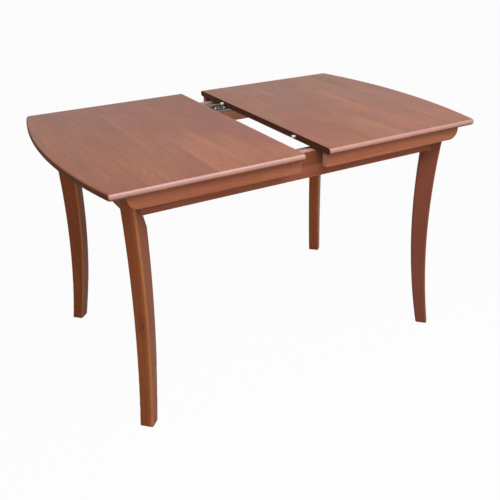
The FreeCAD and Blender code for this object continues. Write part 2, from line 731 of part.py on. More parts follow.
def build_runner(side, face):
    """Bar that slides in a channel, with a web out through its slot."""
    up = slide_side(side)
    low, high = "channel_low + run_play", "channel_high - run_play"
    web_low, web_high = "slot_low + web_play", "slot_high - web_play"
    near, far = "rail_plate + run_play", "rail_depth - rail_flange - run_play"
    corners = [
        (near, low), (far, low), (far, web_low), ("rack_start", web_low),
        ("rack_start", web_high), (far, web_high), (far, high), (near, high),
    ]
    outline = [(inward(face, depth), f"slide_z + {up} * ({rise})") for depth, rise in corners]
    start, length = run_span(side)
    body = prism(f"runner_{FACE_NAMES[face]}_{SIDE_NAMES[side]}", "YZ_Plane", outline, start, length)
    draw_out(body, side)


def rack_outline(side):
    """Points (x, z) of a toothed rack, where it lies closed."""
    up = slide_side(side)
    module = number("gear_module")
    pitch = math.pi * module
    slope = math.tan(math.radians(number("pressure_angle")))
    pitch_radius = module * number("pinion_teeth") / 2
    half_tooth = pitch / 4 - number("tooth_play")
    tip_half = half_tooth - module * slope
    root_half = half_tooth + 1.25 * module * slope
    tip_rise = pitch_radius - module
    root_rise = pitch_radius + 1.25 * module
    start, length = run_span(side)
    x_low = number(start)
    x_high = x_low + number(length)
    first = number("pinion_x") - side * number("open_at_rest") + pitch / 2
    count = int((x_high - first) // pitch)
    margin = root_half + number("rack_land")
    while first - pitch > x_low + margin:
        first -= pitch
        count += 1
    points = [(x_low, number("rack_far")), (x_low, root_rise)]
    for step in range(count + 1):
        centre = first + step * pitch
        if centre + margin > x_high:
            break
        points += [
            (centre - root_half, root_rise), (centre - tip_half, tip_rise),
            (centre + tip_half, tip_rise), (centre + root_half, root_rise),
        ]
    points += [(x_high, root_rise), (x_high, number("rack_far"))]
    return [(x_at, number("slide_z") + up * rise) for x_at, rise in points]


def build_rack(side, face):
    """Toothed rack on the web of a runner; the lower racks stand out a little further."""
    near = number("rack_start")
    far = near + number("rack_thick") + (number("rack_play") if side == RIGHT else 0)
    y_near = face * (number("apron_in_y") - near)
    y_far = face * (number("apron_in_y") - far)
    points = [FreeCAD.Vector(x_at, y_near, z_at) for x_at, z_at in rack_outline(side)]
    profile = Part.Face(Part.makePolygon(points + points[:1]))
    solid = profile.extrude(FreeCAD.Vector(0, y_far - y_near, 0))
    draw_out(add_group(f"rack_{FACE_NAMES[face]}_{SIDE_NAMES[side]}", [solid]), side)


def build_brackets(side):
    """Four angle brackets that join the runners of one half to its top, and their screws."""
    start = number("rack_start + rack_thick") + (number("rack_play") if side == RIGHT else 0)
    thick = number("bracket_thick")
    top = number("underside")
    foot = number("slide_z") + (number("slot_low + web_play") if side == LEFT else -number("rack_far"))
    reach = number("bracket_reach")
    half = number("bracket_width") / 2
    brackets = []
    for at in ("bracket_near", "bracket_far"):
        middle = side * number(at)
        for face in (FRONT, BACK):
            inner = number("apron_in_y")
            corners = [(start, foot), (start + thick, foot), (start + thick, top - thick),
                       (reach, top - thick), (reach, top), (start, top)]
            points = [FreeCAD.Vector(middle - half, face * (inner - depth), level)
                      for depth, level in corners]
            plate = Part.Face(Part.makePolygon(points + points[:1]))
            bracket = plate.extrude(FreeCAD.Vector(2 * half, 0, 0))
            for shift in (-1, 1):
                hole = (middle + shift * number("bracket_screw_off"),
                        face * (inner - number("bracket_screw_in")), top - 2 * thick)
                clear = number("screw_radius + screw_play")
                bracket = bracket.cut(rod(hole, (0, 0, 1), clear, 4 * thick))
            brackets.append(bracket)
    screws = []
    for x_formula, y_formula in bracket_screw_spots(side):
        under_head = (number(x_formula), number(y_formula), top - thick)
        screws.append(wood_screw(under_head, (0, 0, 1), number("screw_length"), thick))
    draw_out(add_group(f"brackets_{SIDE_NAMES[side]}", brackets), side)
    draw_out(add_group(f"bracket_screws_{SIDE_NAMES[side]}", screws), side)


def involute(angle):
    """Involute function of a pressure angle in radians."""
    return math.tan(angle) - angle


def build_pinion(face):
    """Involute pinion, one tooth pointing up, that turns on an axle across the table."""
    module = number("gear_module")
    teeth = int(round(number("pinion_teeth")))
    pitch_radius = module * teeth / 2
    pressure = math.radians(number("pressure_angle"))
    base_radius = pitch_radius * math.cos(pressure)
    tip_radius = pitch_radius + module
    root_radius = pitch_radius - 1.25 * module
    half_tooth = (math.pi * module / 4 - number("tooth_play")) / pitch_radius
    flank = []
    for step in range(7):
        radius = base_radius + (tip_radius - base_radius) * step / 6
        at_radius = involute(math.acos(min(1.0, base_radius / radius)))
        flank.append((radius, half_tooth + involute(pressure) - at_radius))
    side_points = [(root_radius, flank[0][1])] + flank
    profile = []
    for tooth in range(teeth):
        centre = 2 * math.pi * tooth / teeth
        profile += [(radius, centre - angle) for radius, angle in side_points]
        profile += [(radius, centre + angle) for radius, angle in reversed(side_points)]
    near = number("rack_start + pinion_play")
    far = number("rack_start + rack_thick - pinion_play")
    y_near = face * (number("apron_in_y") - near)
    y_far = face * (number("apron_in_y") - far)
    x_mid, z_mid = number("pinion_x"), number("slide_z")
    points = [FreeCAD.Vector(x_mid + radius * math.sin(angle), y_near, z_mid + radius * math.cos(angle))
              for radius, angle in profile]
    outline = Part.Face(Part.makePolygon(points + points[:1]))
    blank = outline.extrude(FreeCAD.Vector(0, y_far - y_near, 0))
    bore = rod((x_mid, 0, z_mid), (0, face, 0), number("axle_radius + axle_play"), number("apron_in_y"))
    add_group(f"pinion_{FACE_NAMES[face]}", [blank.cut(bore)])


def build_guard(face):
    """Plate that keeps a pinion on its axle."""
    start = f"{face} * (apron_in_y - guard_start)"
    low = f"{start} - guard_thick" if face == BACK else start
    body = prism(f"pinion_guard_{FACE_NAMES[face]}", "XZ_Plane", [
        ("pinion_x - guard_half", "slide_z - guard_rise"),
        ("pinion_x + guard_half", "slide_z - guard_rise"),
        ("pinion_x + guard_half", "slide_z + guard_rise"),
        ("pinion_x - guard_half", "slide_z + guard_rise"),
    ], low, "guard_thick")
    soften(body, "guard_round", lambda edge: spans(edge, "y"))
    side = "-1" if face == BACK else "1"
    cut(body, "XZ_Plane", start, f"{side} * guard_thick",
        [("pinion_x - post_offset", "slide_z"), ("pinion_x + post_offset", "slide_z")], "screw_radius")


def build_pinion_mounts():
    """Axles, posts and screws of both pinions."""
    inner = number("apron_in_y")
    plate = number("rail_plate")
    guard = number("guard_start")
    x_mid, z_mid = number("pinion_x"), number("slide_z")
    tap = number("guard_tap")
    collar_length = number("rack_start") - plate
    axles, posts, screws = [], [], []
    for face in (FRONT, BACK):
        seat = (x_mid, face * (inner - plate), z_mid)
        out = (0, -face, 0)
        axle = rod(seat, out, number("axle_radius"), guard - plate)
        collar = rod(seat, out, number("collar_radius"), collar_length)
        axles.append(axle.fuse(collar).removeSplitter())
        for shift in (-1, 1):
            x_at = x_mid + shift * number("post_offset")
            post = rod((x_at, seat[1], z_mid), out, number("post_radius"), guard - plate)
            tip = (x_at, face * (inner - guard), z_mid)
            posts.append(post.cut(rod(tip, (0, face, 0), number("screw_radius"), tap)))
            under_head = (x_at, face * (inner - guard - number("guard_thick")), z_mid)
            screws.append(wood_screw(under_head, (0, face, 0), tap, number("guard_thick")))
    add_group("pinion_axles", axles)
    add_group("guard_posts", posts)
    add_group("guard_screws", screws)


for long_face in (FRONT, BACK):
    build_rail(long_face)
    build_pinion(long_face)
    build_guard(long_face)
    for half_side in (LEFT, RIGHT):
        build_runner(half_side, long_face)
        build_rack(half_side, long_face)
for half_side in (LEFT, RIGHT):
    build_brackets(half_side)
build_pinion_mounts()

rail_screws = []
for long_face in (FRONT, BACK):
    for spot in RAIL_SCREW_SPOTS:
        under = (number(spot), long_face * number("apron_in_y - rail_plate"), number("slide_z"))
        into_apron = (0, long_face, 0)
        rail_screws.append(wood_screw(under, into_apron, number("screw_length"), number("rail_plate")))
add_group("rail_screws", rail_screws)

# Butterfly leaf --------------------------------------------------------------------------------------

HINGE_SPOTS = [
    "hinge_inset - leaf_store",
    "leaf_width / 2 - leaf_store",
    "leaf_width - hinge_inset - leaf_store",
]
LOWER, UPPER = -1, 1
WING_NAMES = {LOWER: "lower", UPPER: "upper"}


def wing_base(wing):
    """Lower face of a wing."""
    return "leaf_low" if wing == LOWER else "leaf_low + top_thick + fold_gap"


def fold_face(wing):
    """Face of a wing that lies against the other one; it is its underside in use."""
    return "leaf_low + top_thick" if wing == LOWER else "leaf_low + top_thick + fold_gap"


def build_wing(wing):
    """One wing of the leaf, with a rounded outer edge and recesses for its fold hinges."""
    label = f"leaf_wing_{WING_NAMES[wing]}"
    body = prism(label, "XY_Plane", [
        ("-leaf_store", "-wing_half"),
        ("leaf_width - leaf_store", "-wing_half"),
        ("leaf_width - leaf_store", "wing_half"),
        ("-leaf_store", "wing_half"),
    ], wing_base(wing), "top_thick")
    outer = number("wing_half") - 1e-3
    soften(body, "edge_round", lambda edge: spans(edge, "x") and middle_of(edge).y > outer)
    into = wing
    for spot in HINGE_SPOTS:
        half = "(hinge_length / 2 + hinge_play)"
        recesses = (("hinge_reach", "hinge_plate"),
                    ("hinge_radius + hinge_play", "hinge_radius + hinge_relief"))
        for reach, depth in recesses:
            cut(body, "XY_Plane", fold_face(wing), f"{into} * ({depth})", points=[
                (f"{spot} - {half}", "-wing_half - 1"),
                (f"{spot} + {half}", "-wing_half - 1"),
                (f"{spot} + {half}", f"-wing_half + {reach}"),
                (f"{spot} - {half}", f"-wing_half + {reach}"),
            ])
        spots = [(f"{spot} + {shift} * hinge_screw_off", "-wing_half + hinge_screw_in")
                 for shift in (-1, 1)]
        cut(body, "XY_Plane", fold_face(wing), f"{into} * (hinge_plate + hinge_screw_length)",
            spots, "hinge_screw_radius")
    level = f"{wing_base(wing)} + top_thick / 2"
    pin_spot = [("pin_y - wing_half", level)]
    cut(body, "YZ_Plane", "-leaf_store", "pin_seat", pin_spot, "pin_radius")
    cut(body, "YZ_Plane", "leaf_width - leaf_store", "-socket_depth", pin_spot, "pin_radius + pin_play")


def hinge_screw(x_at, y_at, face_level, into):
    """Countersunk screw flush with a hinge plate."""
    radius = number("hinge_screw_radius")
    plate = number("hinge_plate")
    top = FreeCAD.Vector(x_at, y_at, face_level)
    axis = FreeCAD.Vector(0, 0, into)
    head = Part.makeCone(radius + plate, radius, plate, top, axis)
    shank = Part.makeCylinder(radius, plate + number("hinge_screw_length"), top, axis)
    return head.fuse(shank).removeSplitter()


def build_hinges():
    """Three fold hinges between the undersides of the wings: plates, knuckles, pins and screws."""
    plates = {LOWER: [], UPPER: []}
    pins, screws = [], []
    half = number("hinge_length") / 2
    third = number("hinge_length") / 6
    knuckle = number("hinge_radius")
    play = number("hinge_play")
    axis_y = -number("wing_half")
    axis_z = number("leaf_low + top_thick + fold_gap / 2")
    pin = number("hinge_pin")
    for spot in HINGE_SPOTS:
        middle = number(spot)
        for wing in (LOWER, UPPER):
            face_level = number(fold_face(wing))
            other = face_level + wing * number("hinge_plate")
            levels = sorted((face_level, other))
            edge = axis_y + knuckle + play
            plate = slab((middle - half, edge, levels[0]),
                         (middle + half, axis_y + number("hinge_reach"), levels[1]))
            middle_barrel = [(-third + play, third - play)]
            spans_x = middle_barrel if wing == UPPER else [(-half, -third), (third, half)]
            for low, high in spans_x:
                arm = slab((middle + low, axis_y, levels[0]), (middle + high, edge, levels[1]))
                barrel = rod((middle + low, axis_y, axis_z), (1, 0, 0), knuckle, high - low)
                plate = plate.fuse(arm).fuse(barrel)
            plate = plate.cut(rod((middle - half, axis_y, axis_z), (1, 0, 0), pin, 2 * half))
            for shift in (-1, 1):
                x_at = middle + shift * number("hinge_screw_off")
                screw = hinge_screw(x_at, axis_y + number("hinge_screw_in"), face_level, wing)
                plate = plate.cut(screw)
                screws.append(screw)
            plates[wing].append(plate.removeSplitter())
        pins.append(rod((middle - half, axis_y, axis_z), (1, 0, 0), pin, 2 * half))
    for wing in (LOWER, UPPER):
        add_group(f"hinge_leaves_{WING_NAMES[wing]}", plates[wing])
    add_group("hinge_pins", pins)
    add_group("hinge_screws", screws)


def build_leaf_pins():
    """Alignment pin in the outer edge of each wing."""
    leaf_pins = []
    for wing in (LOWER, UPPER):
        level = number(f"{wing_base(wing)} + top_thick / 2")
        tail = (number("pin_seat - leaf_store"), number("pin_y - wing_half"), level)
        leaf_pins.append(rod(tail, (-1, 0, 0), number("pin_radius"), number("pin_seat + pin_out")))
    add_group("leaf_pins", leaf_pins)


def build_bearer(label, at):
    """Cross bearer under the folded leaf."""
    x_low = f"({at} - leaf_store)"
    body = prism(label, "XY_Plane", [
        (x_low, "-(apron_in_y - bearer_end)"),
        (f"{x_low} + bearer_width", "-(apron_in_y - bearer_end)"),
        (f"{x_low} + bearer_width", "apron_in_y - bearer_end"),
        (x_low, "apron_in_y - bearer_end"),
    ], "bearer_low", "bearer_thick")
    soften(body, "bearer_chamfer", lambda edge: spans(edge, "y"), "Chamfer")


def build_ledger(face):
    """Ledge along a long apron that the bearers slide on."""
    edges = (inward(face, "0"), inward(face, "ledger_width"))
    body = prism(f"ledger_{FACE_NAMES[face]}", "YZ_Plane", [
        (edges[0], "ledger_low"),
        (edges[1], "ledger_low"),
        (edges[1], "ledger_low + ledger_height"),
        (edges[0], "ledger_low + ledger_height"),
    ], "-rail_half", "rail_half + ledger_past")
    cut(body, "XZ_Plane", inward(face, "ledger_width"), f"{face} * ledger_width",
        [(spot, "ledger_low + ledger_height / 2") for spot in LEDGER_SCREW_SPOTS],
        "screw_radius + screw_play")


def build_leaf_support():
    """Felt on the bearers, stops on the ledgers and the screws of the ledgers."""
    felts, stops, screws = [], [], []
    felt_low = number("bearer_low + bearer_thick")
    felt_high = number("leaf_low")
    reach = number("wing_half - felt_end")
    for at in ("bearer_outer_at", "bearer_inner_at"):
        middle = number(f"{at} - leaf_store + bearer_width / 2")
        half = number("felt_width") / 2
        felts.append(slab((middle - half, -reach, felt_low), (middle + half, reach, felt_high)))
    ledger_top = number("ledger_low + ledger_height")
    end = number("ledger_past")
    for face in (FRONT, BACK):
        inner = number("apron_in_y")
        y_range = sorted((face * inner, face * (inner - number("ledger_width"))))
        stops.append(slab((end - number("stop_width"), y_range[0], ledger_top),
                          (end, y_range[1], ledger_top + number("stop_height"))))
        for spot in LEDGER_SCREW_SPOTS:
            under = (number(spot), face * (inner - number("ledger_width")),
                     number("ledger_low + ledger_height / 2"))
            shank = number("screw_length")
            screws.append(wood_screw(under, (0, face, 0), shank, number("ledger_width")))
    add_group("bearer_felts", felts)
    add_group("ledger_stops", stops)
    add_group("ledger_screws", screws)


for leaf_wing in (LOWER, UPPER):
    build_wing(leaf_wing)
build_hinges()
build_leaf_pins()
build_bearer("bearer_outer", "bearer_outer_at")
build_bearer("bearer_inner", "bearer_inner_at")
for long_face in (FRONT, BACK):
    build_ledger(long_face)
build_leaf_support()

# Checks and files ------------------------------------------------------------------------------------

doc.recompute()
for item in doc.Objects:
    if "Invalid" in item.State or "Error" in item.State:
        raise RuntimeError(f"{item.Label} failed: {item.State}")
for piece in pieces:
    shape = piece.Shape
    if shape.isNull() or not shape.isValid() or not shape.Solids:
        raise RuntimeError(f"{piece.Label} has no valid shape")

os.makedirs("parts", exist_ok=True)
for old in os.listdir("parts"):
    if old.endswith(".step") and old[:-5] not in {piece.Label for piece in pieces}:
        os.remove(os.path.join("parts", old))
for piece in pieces:
    piece.Shape.exportStep(os.path.join("parts", f"{piece.Label}.step"))
    box = piece.Shape.BoundBox
    reach = ", ".join(f"{low:.1f} to {high:.1f}" for low, high in (
        (box.XMin, box.XMax), (box.YMin, box.YMax), (box.ZMin, box.ZMax)))
    print(f"{piece.Label}: {len(piece.Shape.Solids)} solids, {piece.Shape.Volume / 1000:.1f} cm3, {reach}")
print(len(pieces), "sub-parts")
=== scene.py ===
import logging
import math
from collections.abc import Iterable, Mapping, Sequence
from dataclasses import dataclass, field, replace
from enum import Enum
from functools import cached_property

import bmesh
import bpy
from mathutils import Matrix, Vector


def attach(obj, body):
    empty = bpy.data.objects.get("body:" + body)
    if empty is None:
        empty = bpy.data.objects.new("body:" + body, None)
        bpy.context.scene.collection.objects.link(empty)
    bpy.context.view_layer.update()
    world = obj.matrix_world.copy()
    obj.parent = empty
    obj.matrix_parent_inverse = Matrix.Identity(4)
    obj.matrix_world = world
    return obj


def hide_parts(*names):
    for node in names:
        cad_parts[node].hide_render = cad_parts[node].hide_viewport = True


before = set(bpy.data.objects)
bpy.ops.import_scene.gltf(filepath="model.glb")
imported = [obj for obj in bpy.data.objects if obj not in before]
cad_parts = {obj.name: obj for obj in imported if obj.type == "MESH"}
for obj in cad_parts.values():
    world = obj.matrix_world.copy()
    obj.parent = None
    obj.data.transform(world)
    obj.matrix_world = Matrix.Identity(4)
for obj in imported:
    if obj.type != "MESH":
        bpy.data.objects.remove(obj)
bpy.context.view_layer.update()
log = logging.getLogger("butterfly_leaf_table")

Colour = tuple[float, float, float]
Point = tuple[float, float, float]
Span = tuple[float, float]
WHITE: Colour = (1.0, 1.0, 1.0)
DEEPER_SHARE = 0.7
TABLE_AXIS = Vector((1.0, 0.0, 0.0))
QUARTER_TURN = math.pi / 2
IMAGE_SIDE = 500


def stain(red: int, green: int, blue: int) -> Colour:
    """Scene-linear colour of a display colour with channels from 0 to 255, by the sRGB curve.

    Args:
        red: Red channel.
        green: Green channel.
        blue: Blue channel.

    Returns:
        The three linear channels.
    """
    def linear(channel: int) -> float:
        """Linear value of one channel."""
        share = channel / 255
        return share / 12.92 if share <= 0.04045 else ((share + 0.055) / 1.055) ** 2.4

    return linear(red), linear(green), linear(blue)


def stains(**colours: tuple[int, int, int]) -> dict[str, Colour]:
    """Scene-linear colours of several display colours, by name."""
    return {name: stain(*channels) for name, channels in colours.items()}


def deeper(colour: Colour) -> Colour:
    """The same colour, darker."""
    return tuple(channel * DEEPER_SHARE for channel in colour)


def pointing(angle: float) -> Vector:
    """Direction at an angle, in radians, from the length of the table."""
    return Vector((math.cos(angle), math.sin(angle)))


# Shader maths ------------------------------------------------


class Kind(Enum):
    """What a wire carries."""

    NUMBER = "number"
    VECTOR = "vector"
    COLOUR = "colour"


class Wire:
    """An output socket that can be used in Python expressions."""

    def __init__(self, bench: "Bench", socket: bpy.types.NodeSocket, kind: Kind = Kind.NUMBER) -> None:
        """Wrap an output socket.

        Args:
            bench: Bench that holds the node.
            socket: Output socket.
            kind: What the socket carries.
        """
        self.bench = bench
        self.socket = socket
        self.kind = kind

    def _combine(
        self, operation: str, other: "Wire | float | Sequence[float]", swap: bool = False
    ) -> "Wire":
        """Node that combines this wire with another value.

        Args:
            operation: ADD, SUBTRACT, MULTIPLY or DIVIDE.
            other: Second value.
            swap: True where the other value comes first.

        Returns:
            The result, of this wire's kind.
        """
        first, second = (other, self) if swap else (self, other)
        if self.kind is Kind.NUMBER:
            return self.bench.maths(operation, first, second)
        if self.kind is Kind.VECTOR:
            inputs = {0: first, 1: second}
            node = self.bench.node("ShaderNodeVectorMath", {"operation": operation}, inputs)
            return Wire(self.bench, node.outputs[0], Kind.VECTOR)
        return self.bench.mix(1.0, first, second, operation)

    def __add__(self, other: "Wire | float") -> "Wire":
        """Sum."""
        return self._combine("ADD", other)

    def __radd__(self, other: float) -> "Wire":
        """Sum with the number first."""
        return self._combine("ADD", other, True)

    def __sub__(self, other: "Wire | float") -> "Wire":
        """Difference."""
        return self._combine("SUBTRACT", other)

    def __rsub__(self, other: float) -> "Wire":
        """Difference with the number first."""
        return self._combine("SUBTRACT", other, True)

    def __mul__(self, other: "Wire | float | Sequence[float]") -> "Wire":
        """Product."""
        return self._combine("MULTIPLY", other)

    def __rmul__(self, other: float) -> "Wire":
        """Product with the number first."""
        return self._combine("MULTIPLY", other, True)

    def __truediv__(self, other: "Wire | float") -> "Wire":
        """Quotient."""
        return self._combine("DIVIDE", other)

    def __rtruediv__(self, other: float) -> "Wire":
        """Quotient with the number first."""
        return self._combine("DIVIDE", other, True)

    def __abs__(self) -> "Wire":
        """Size without its sign."""
        return self.bench.maths("ABSOLUTE", self)

    def root(self) -> "Wire":
        """Square root."""
        return self.bench.maths("SQRT", self)

    def sine(self) -> "Wire":
        """Sine of an angle in radians."""
        return self.bench.maths("SINE", self)

    def sign(self) -> "Wire":
        """Minus one, nought or one."""
        return self.bench.maths("SIGN", self)

    def floor(self) -> "Wire":
        """Whole number below."""
        return self.bench.maths("FLOOR", self)

    def step(self, low: float, high: float) -> "Wire":
        """Smooth step from 0 to 1.

        Args:
            low: Value below which it is 0.
            high: Value above which it is 1.

        Returns:
            The step.
        """
        settings = {"interpolation_type": "SMOOTHSTEP"}
        node = self.bench.node("ShaderNodeMapRange", settings, {0: self, 1: low, 2: high, 3: 0.0, 4: 1.0})
        return Wire(self.bench, node.outputs[0])

    def split(self) -> tuple["Wire", "Wire", "Wire"]:
        """The three parts of a vector."""
        node = self.bench.node("ShaderNodeSeparateXYZ", inputs={0: self})
        return tuple(Wire(self.bench, output) for output in node.outputs)

    def dot(self, other: "Wire") -> "Wire":
        """Dot product with another vector."""
        node = self.bench.node("ShaderNodeVectorMath", {"operation": "DOT_PRODUCT"}, {0: self, 1: other})
        return Wire(self.bench, node.outputs[1])


Value = Wire | float | Sequence[float]


@dataclass(frozen=True)
class Layer:
    """Layer of noise, with its cells in a metre along each axis."""

    cells: Point
    octaves: float = 3.0
    rough: float = 0.6


def even(cells: float) -> Point:
    """The same number of cells along each axis."""
    return cells, cells, cells


def drawn_out(along: float, across: float) -> Point:
    """Cells along the fibres or scratches, and across them."""
    return along, across, across


# Mean of any noise, and rays with which the shader looks for edges.
MEAN = 0.5
BEVEL_SAMPLES = 4


class Bench:
    """The node tree of a material or a world, and the one way nodes are put on it."""

    def __init__(self, owner: bpy.types.Material | bpy.types.World) -> None:
        """Start with an empty tree.

        Args:
            owner: Material or world that has the tree.
        """
        owner.use_nodes = True
        self.owner = owner
        self.tree = owner.node_tree
        self.tree.nodes.clear()

    def node(
        self, kind: str, settings: Mapping[str, object] | None = None,
        inputs: Mapping[int | str, Value] | None = None
    ) -> bpy.types.Node:
        """Put one node on the bench.

        Args:
            kind: Node type.
            settings: Properties of the node, set before its sockets.
            inputs: Value or wire of each socket, by index or name.

        Returns:
            The node.
        """
        made = self.tree.nodes.new(kind)
        for key, value in (settings or {}).items():
            setattr(made, key, value)
        for key, value in (inputs or {}).items():
            socket = made.inputs[key]
            if isinstance(value, Wire):
                self.tree.links.new(value.socket, socket)
            elif socket.type == "RGBA":
                socket.default_value = (*value, 1.0)
            else:
                socket.default_value = value
        return made

    def maths(self, operation: str, *values: "Wire | float") -> Wire:
        """Number from one Math node."""
        node = self.node("ShaderNodeMath", {"operation": operation}, dict(enumerate(values)))
        return Wire(self, node.outputs[0])

    def mix(self, factor: "Wire | float", first: Value, second: Value, blend: str = "MIX") -> Wire:
        """Mix of two colours.

        Args:
            factor: Share of the second colour.
            first: First colour.
            second: Second colour.
            blend: Blend type of the Mix node.

        Returns:
            The mixed colour.
        """
        settings = {"data_type": "RGBA", "blend_type": blend, "clamp_factor": True}
        node = self.node("ShaderNodeMix", settings, {0: factor, 6: first, 7: second})
        return Wire(self, node.outputs[2], Kind.COLOUR)

    @cached_property
    def place(self) -> Wire:
        """Place on the piece, in metres in the table's frame at rest."""
        return Wire(self, self.node("ShaderNodeTexCoord").outputs["Object"], Kind.VECTOR)

    @cached_property
    def normal(self) -> Wire:
        """Normal of the piece there, in the table's frame at rest."""
        return Wire(self, self.node("ShaderNodeTexCoord").outputs["Normal"], Kind.VECTOR)

    def join(self, across: "Wire | float", along: "Wire | float", up: "Wire | float") -> Wire:
        """Vector from three numbers."""
        node = self.node("ShaderNodeCombineXYZ", inputs={0: across, 1: along, 2: up})
        return Wire(self, node.outputs[0], Kind.VECTOR)

    def noise(self, where: Wire, layer: Layer) -> Wire:
        """Smooth noise from 0 to 1.

        Args:
            where: Place.
            layer: Cells, octaves and the share that each octave keeps.

        Returns:
            The noise.
        """
        inputs = {
            "Vector": where * layer.cells, "Scale": 1.0, "Detail": layer.octaves, "Roughness": layer.rough}
        return Wire(self, self.node("ShaderNodeTexNoise", inputs=inputs).outputs[0])

    def chance(self, number: Wire) -> Wire:
        """Random number from 0 to 1 for each whole number."""
        node = self.node("ShaderNodeTexWhiteNoise", {"noise_dimensions": "1D"}, {"W": number})
        return Wire(self, node.outputs[0])

    def rounded(self, radius: float) -> Wire:
        """Normal as if every edge had this radius."""
        node = self.node("ShaderNodeBevel", {"samples": BEVEL_SAMPLES}, {"Radius": radius})
        return Wire(self, node.outputs[0], Kind.VECTOR)

    def edges(self, soft: Wire, low: float, high: float) -> Wire:
        """Mask of the edges, from 0 on flat faces to 1.

        Args:
            soft: Normal from `rounded`.
            low: Turn of the normal at which the mask starts.
            high: Turn at which it is full.

        Returns:
            The mask.
        """
        flat = Wire(self, self.node("ShaderNodeNewGeometry").outputs["Normal"], Kind.VECTOR)
        return (1 - soft.dot(flat)).step(low, high)

    def bump(self, height: Wire, distance: float, soft: Wire | None = None) -> Wire:
        """Normal of an uneven surface.

        Args:
            height: Height from 0 to 1.
            distance: Height of 1, in metres.
            soft: Normal with rounded edges; the piece's own normal where there is none.

        Returns:
            The normal.
        """
        inputs: dict[int | str, Value] = {"Height": height, "Distance": distance, "Strength": 1.0}
        if soft is not None:
            inputs["Normal"] = soft
        return Wire(self, self.node("ShaderNodeBump", inputs=inputs).outputs[0], Kind.VECTOR)

    def finish(self, inputs: Mapping[int | str, Value]) -> bpy.types.Material:
        """Close the tree with the surface shader.

        Args:
            inputs: Values and wires of the shader's sockets.

        Returns:
            The material.
        """
        shader = self.node("ShaderNodeBsdfPrincipled", inputs=inputs)
        self.node("ShaderNodeOutputMaterial", inputs={0: Wire(self, shader.outputs[0])})
        return self.owner


# Finishes ----------------------------------------------------


class Run(Enum):
    """Which way the fibres of a board run."""

    ALONG_TABLE = "along the table"
    ACROSS_TABLE = "across the table"
    DOWN_LEG = "down a leg, following its curve"


FIBRE_AXIS = {Run.ALONG_TABLE: 0, Run.ACROSS_TABLE: 1, Run.DOWN_LEG: 2}


@dataclass(frozen=True)
class LegShape:
    """Curved profile of the legs, in metres, that the fibres follow."""

    corner_x: float = 0.450
    corner_y: float = 0.258
    foot: float = 0.133
    middle: float = 0.0986
    top: float = 0.115
    height: float = 0.7265
    own_figure: Span = (3.7, 1.9)
    own_slant: float = 0.013
    highlight_across: Span = (-0.019, -0.004)
    # Band beside the edge that faces a long side, where a highlight is painted.
    highlight_turn: Span = (0.8, 1.3)
    highlight_share: float = 0.55

    def outer_curve(self) -> tuple[float, float, float]:
        """Centre, along and up, and radius of the outer curve.

        Returns:
            The three lengths, in metres.
        """
        half = self.height / 2
        rise = (self.top - self.foot) / 2
        sag = (self.foot + self.top) / 2 - self.middle
        chord = half * half + rise * rise
        along = (chord - sag * sag) / (2 * sag)
        centre_height = half - rise * along / half
        centre_along = self.middle + sag + along
        return centre_along, centre_height, math.hypot(centre_along - self.foot, centre_height)

    def unroll(self, where: Wire) -> tuple[Wire, Wire, Wire]:
        """Height, place across and depth behind the outer curve of a point on any leg.

        Args:
            where: Place on the leg.

        Returns:
            The three lengths, in metres.
        """
        x, y, z = where.split()
        reach_x = abs(x) - self.corner_x
        reach_y = abs(y) - self.corner_y
        along = (reach_x + reach_y) * math.sqrt(0.5)
        across = (reach_x - reach_y) * math.sqrt(0.5)
        centre_along, centre_height, radius = self.outer_curve()
        rise = z - centre_height
        outer = centre_along - (radius ** 2 - rise * rise).root()
        return z, across, along - outer

    def fibres(self, where: Wire) -> tuple[Wire, Wire, Wire]:
        """Place along a leg's fibres, across them and in depth, set off to give each leg its own figure.

        Args:
            where: Place on the leg.

        Returns:
            The three lengths, in metres.
        """
        x, y, _ = where.split()
        own = x.sign() * self.own_figure[0] + y.sign() * self.own_figure[1]
        along, across, depth = self.unroll(where)
        return along + own, across + own * self.own_slant, depth

    def painted_highlight_band(self, bench: Bench) -> Wire:
        """Mask of the painted highlight on the outer face beside the edge that faces a long side of the
        table.

        Args:
            bench: Bench of the material.

        Returns:
            The mask, from 0 to 1.
        """
        x, y, _ = bench.place.split()
        normal_x, normal_y, _ = bench.normal.split()
        outwards = normal_x * x.sign() + normal_y * y.sign()
        _, across, _ = self.unroll(bench.place)
        return (1 - across.step(*self.highlight_across)) * outwards.step(*self.highlight_turn) * self.highlight_share


LEG_SHAPE = LegShape()


@dataclass(frozen=True)
class Knot:
    """Knot on the outer curve of a leg, in metres, with dark rings round a darker eye."""

    height: float = 0.325
    across: float = -0.0058
    radii: Point = (0.016, 0.0075, 0.02)
    halo: Span = (0.6, 3.2)
    halo_share: float = 0.2
    eye: Span = (0.35, 1.0)
    eye_share: float = 0.28
    rings: float = 5.0
    ring_ripple: float = 3.0

    def distance(self, where: Wire) -> Wire:
        """Distance from the knot, in its own radii.

        Args:
            where: Place on the leg.

        Returns:
            The distance.
        """
        height, across, depth = LEG_SHAPE.unroll(where)
        off_height = (height - self.height) / self.radii[0]
        off_across = (across - self.across) / self.radii[1]
        off_depth = depth / self.radii[2]
        return (off_height * off_height + off_across * off_across + off_depth * off_depth).root()

    def paint(self, bench: Bench, colour: Wire, pore: Colour, ripple: Wire) -> Wire:
        """Put the knot on a leg.

        Args:
            bench: Bench of the material.
            colour: Colour of the leg.
            pore: Colour of its pores.
            ripple: Noise that makes its rings uneven.

        Returns:
            The colour with the knot.
        """
        distance = self.distance(bench.place)
        rings = (distance * self.rings + ripple * self.ring_ripple).sine() + 1.0
        colour = bench.mix((1 - distance.step(*self.halo)) * (rings * self.halo_share), colour, pore)
        return bench.mix((1 - distance.step(*self.eye)) * self.eye_share, colour, deeper(pore))


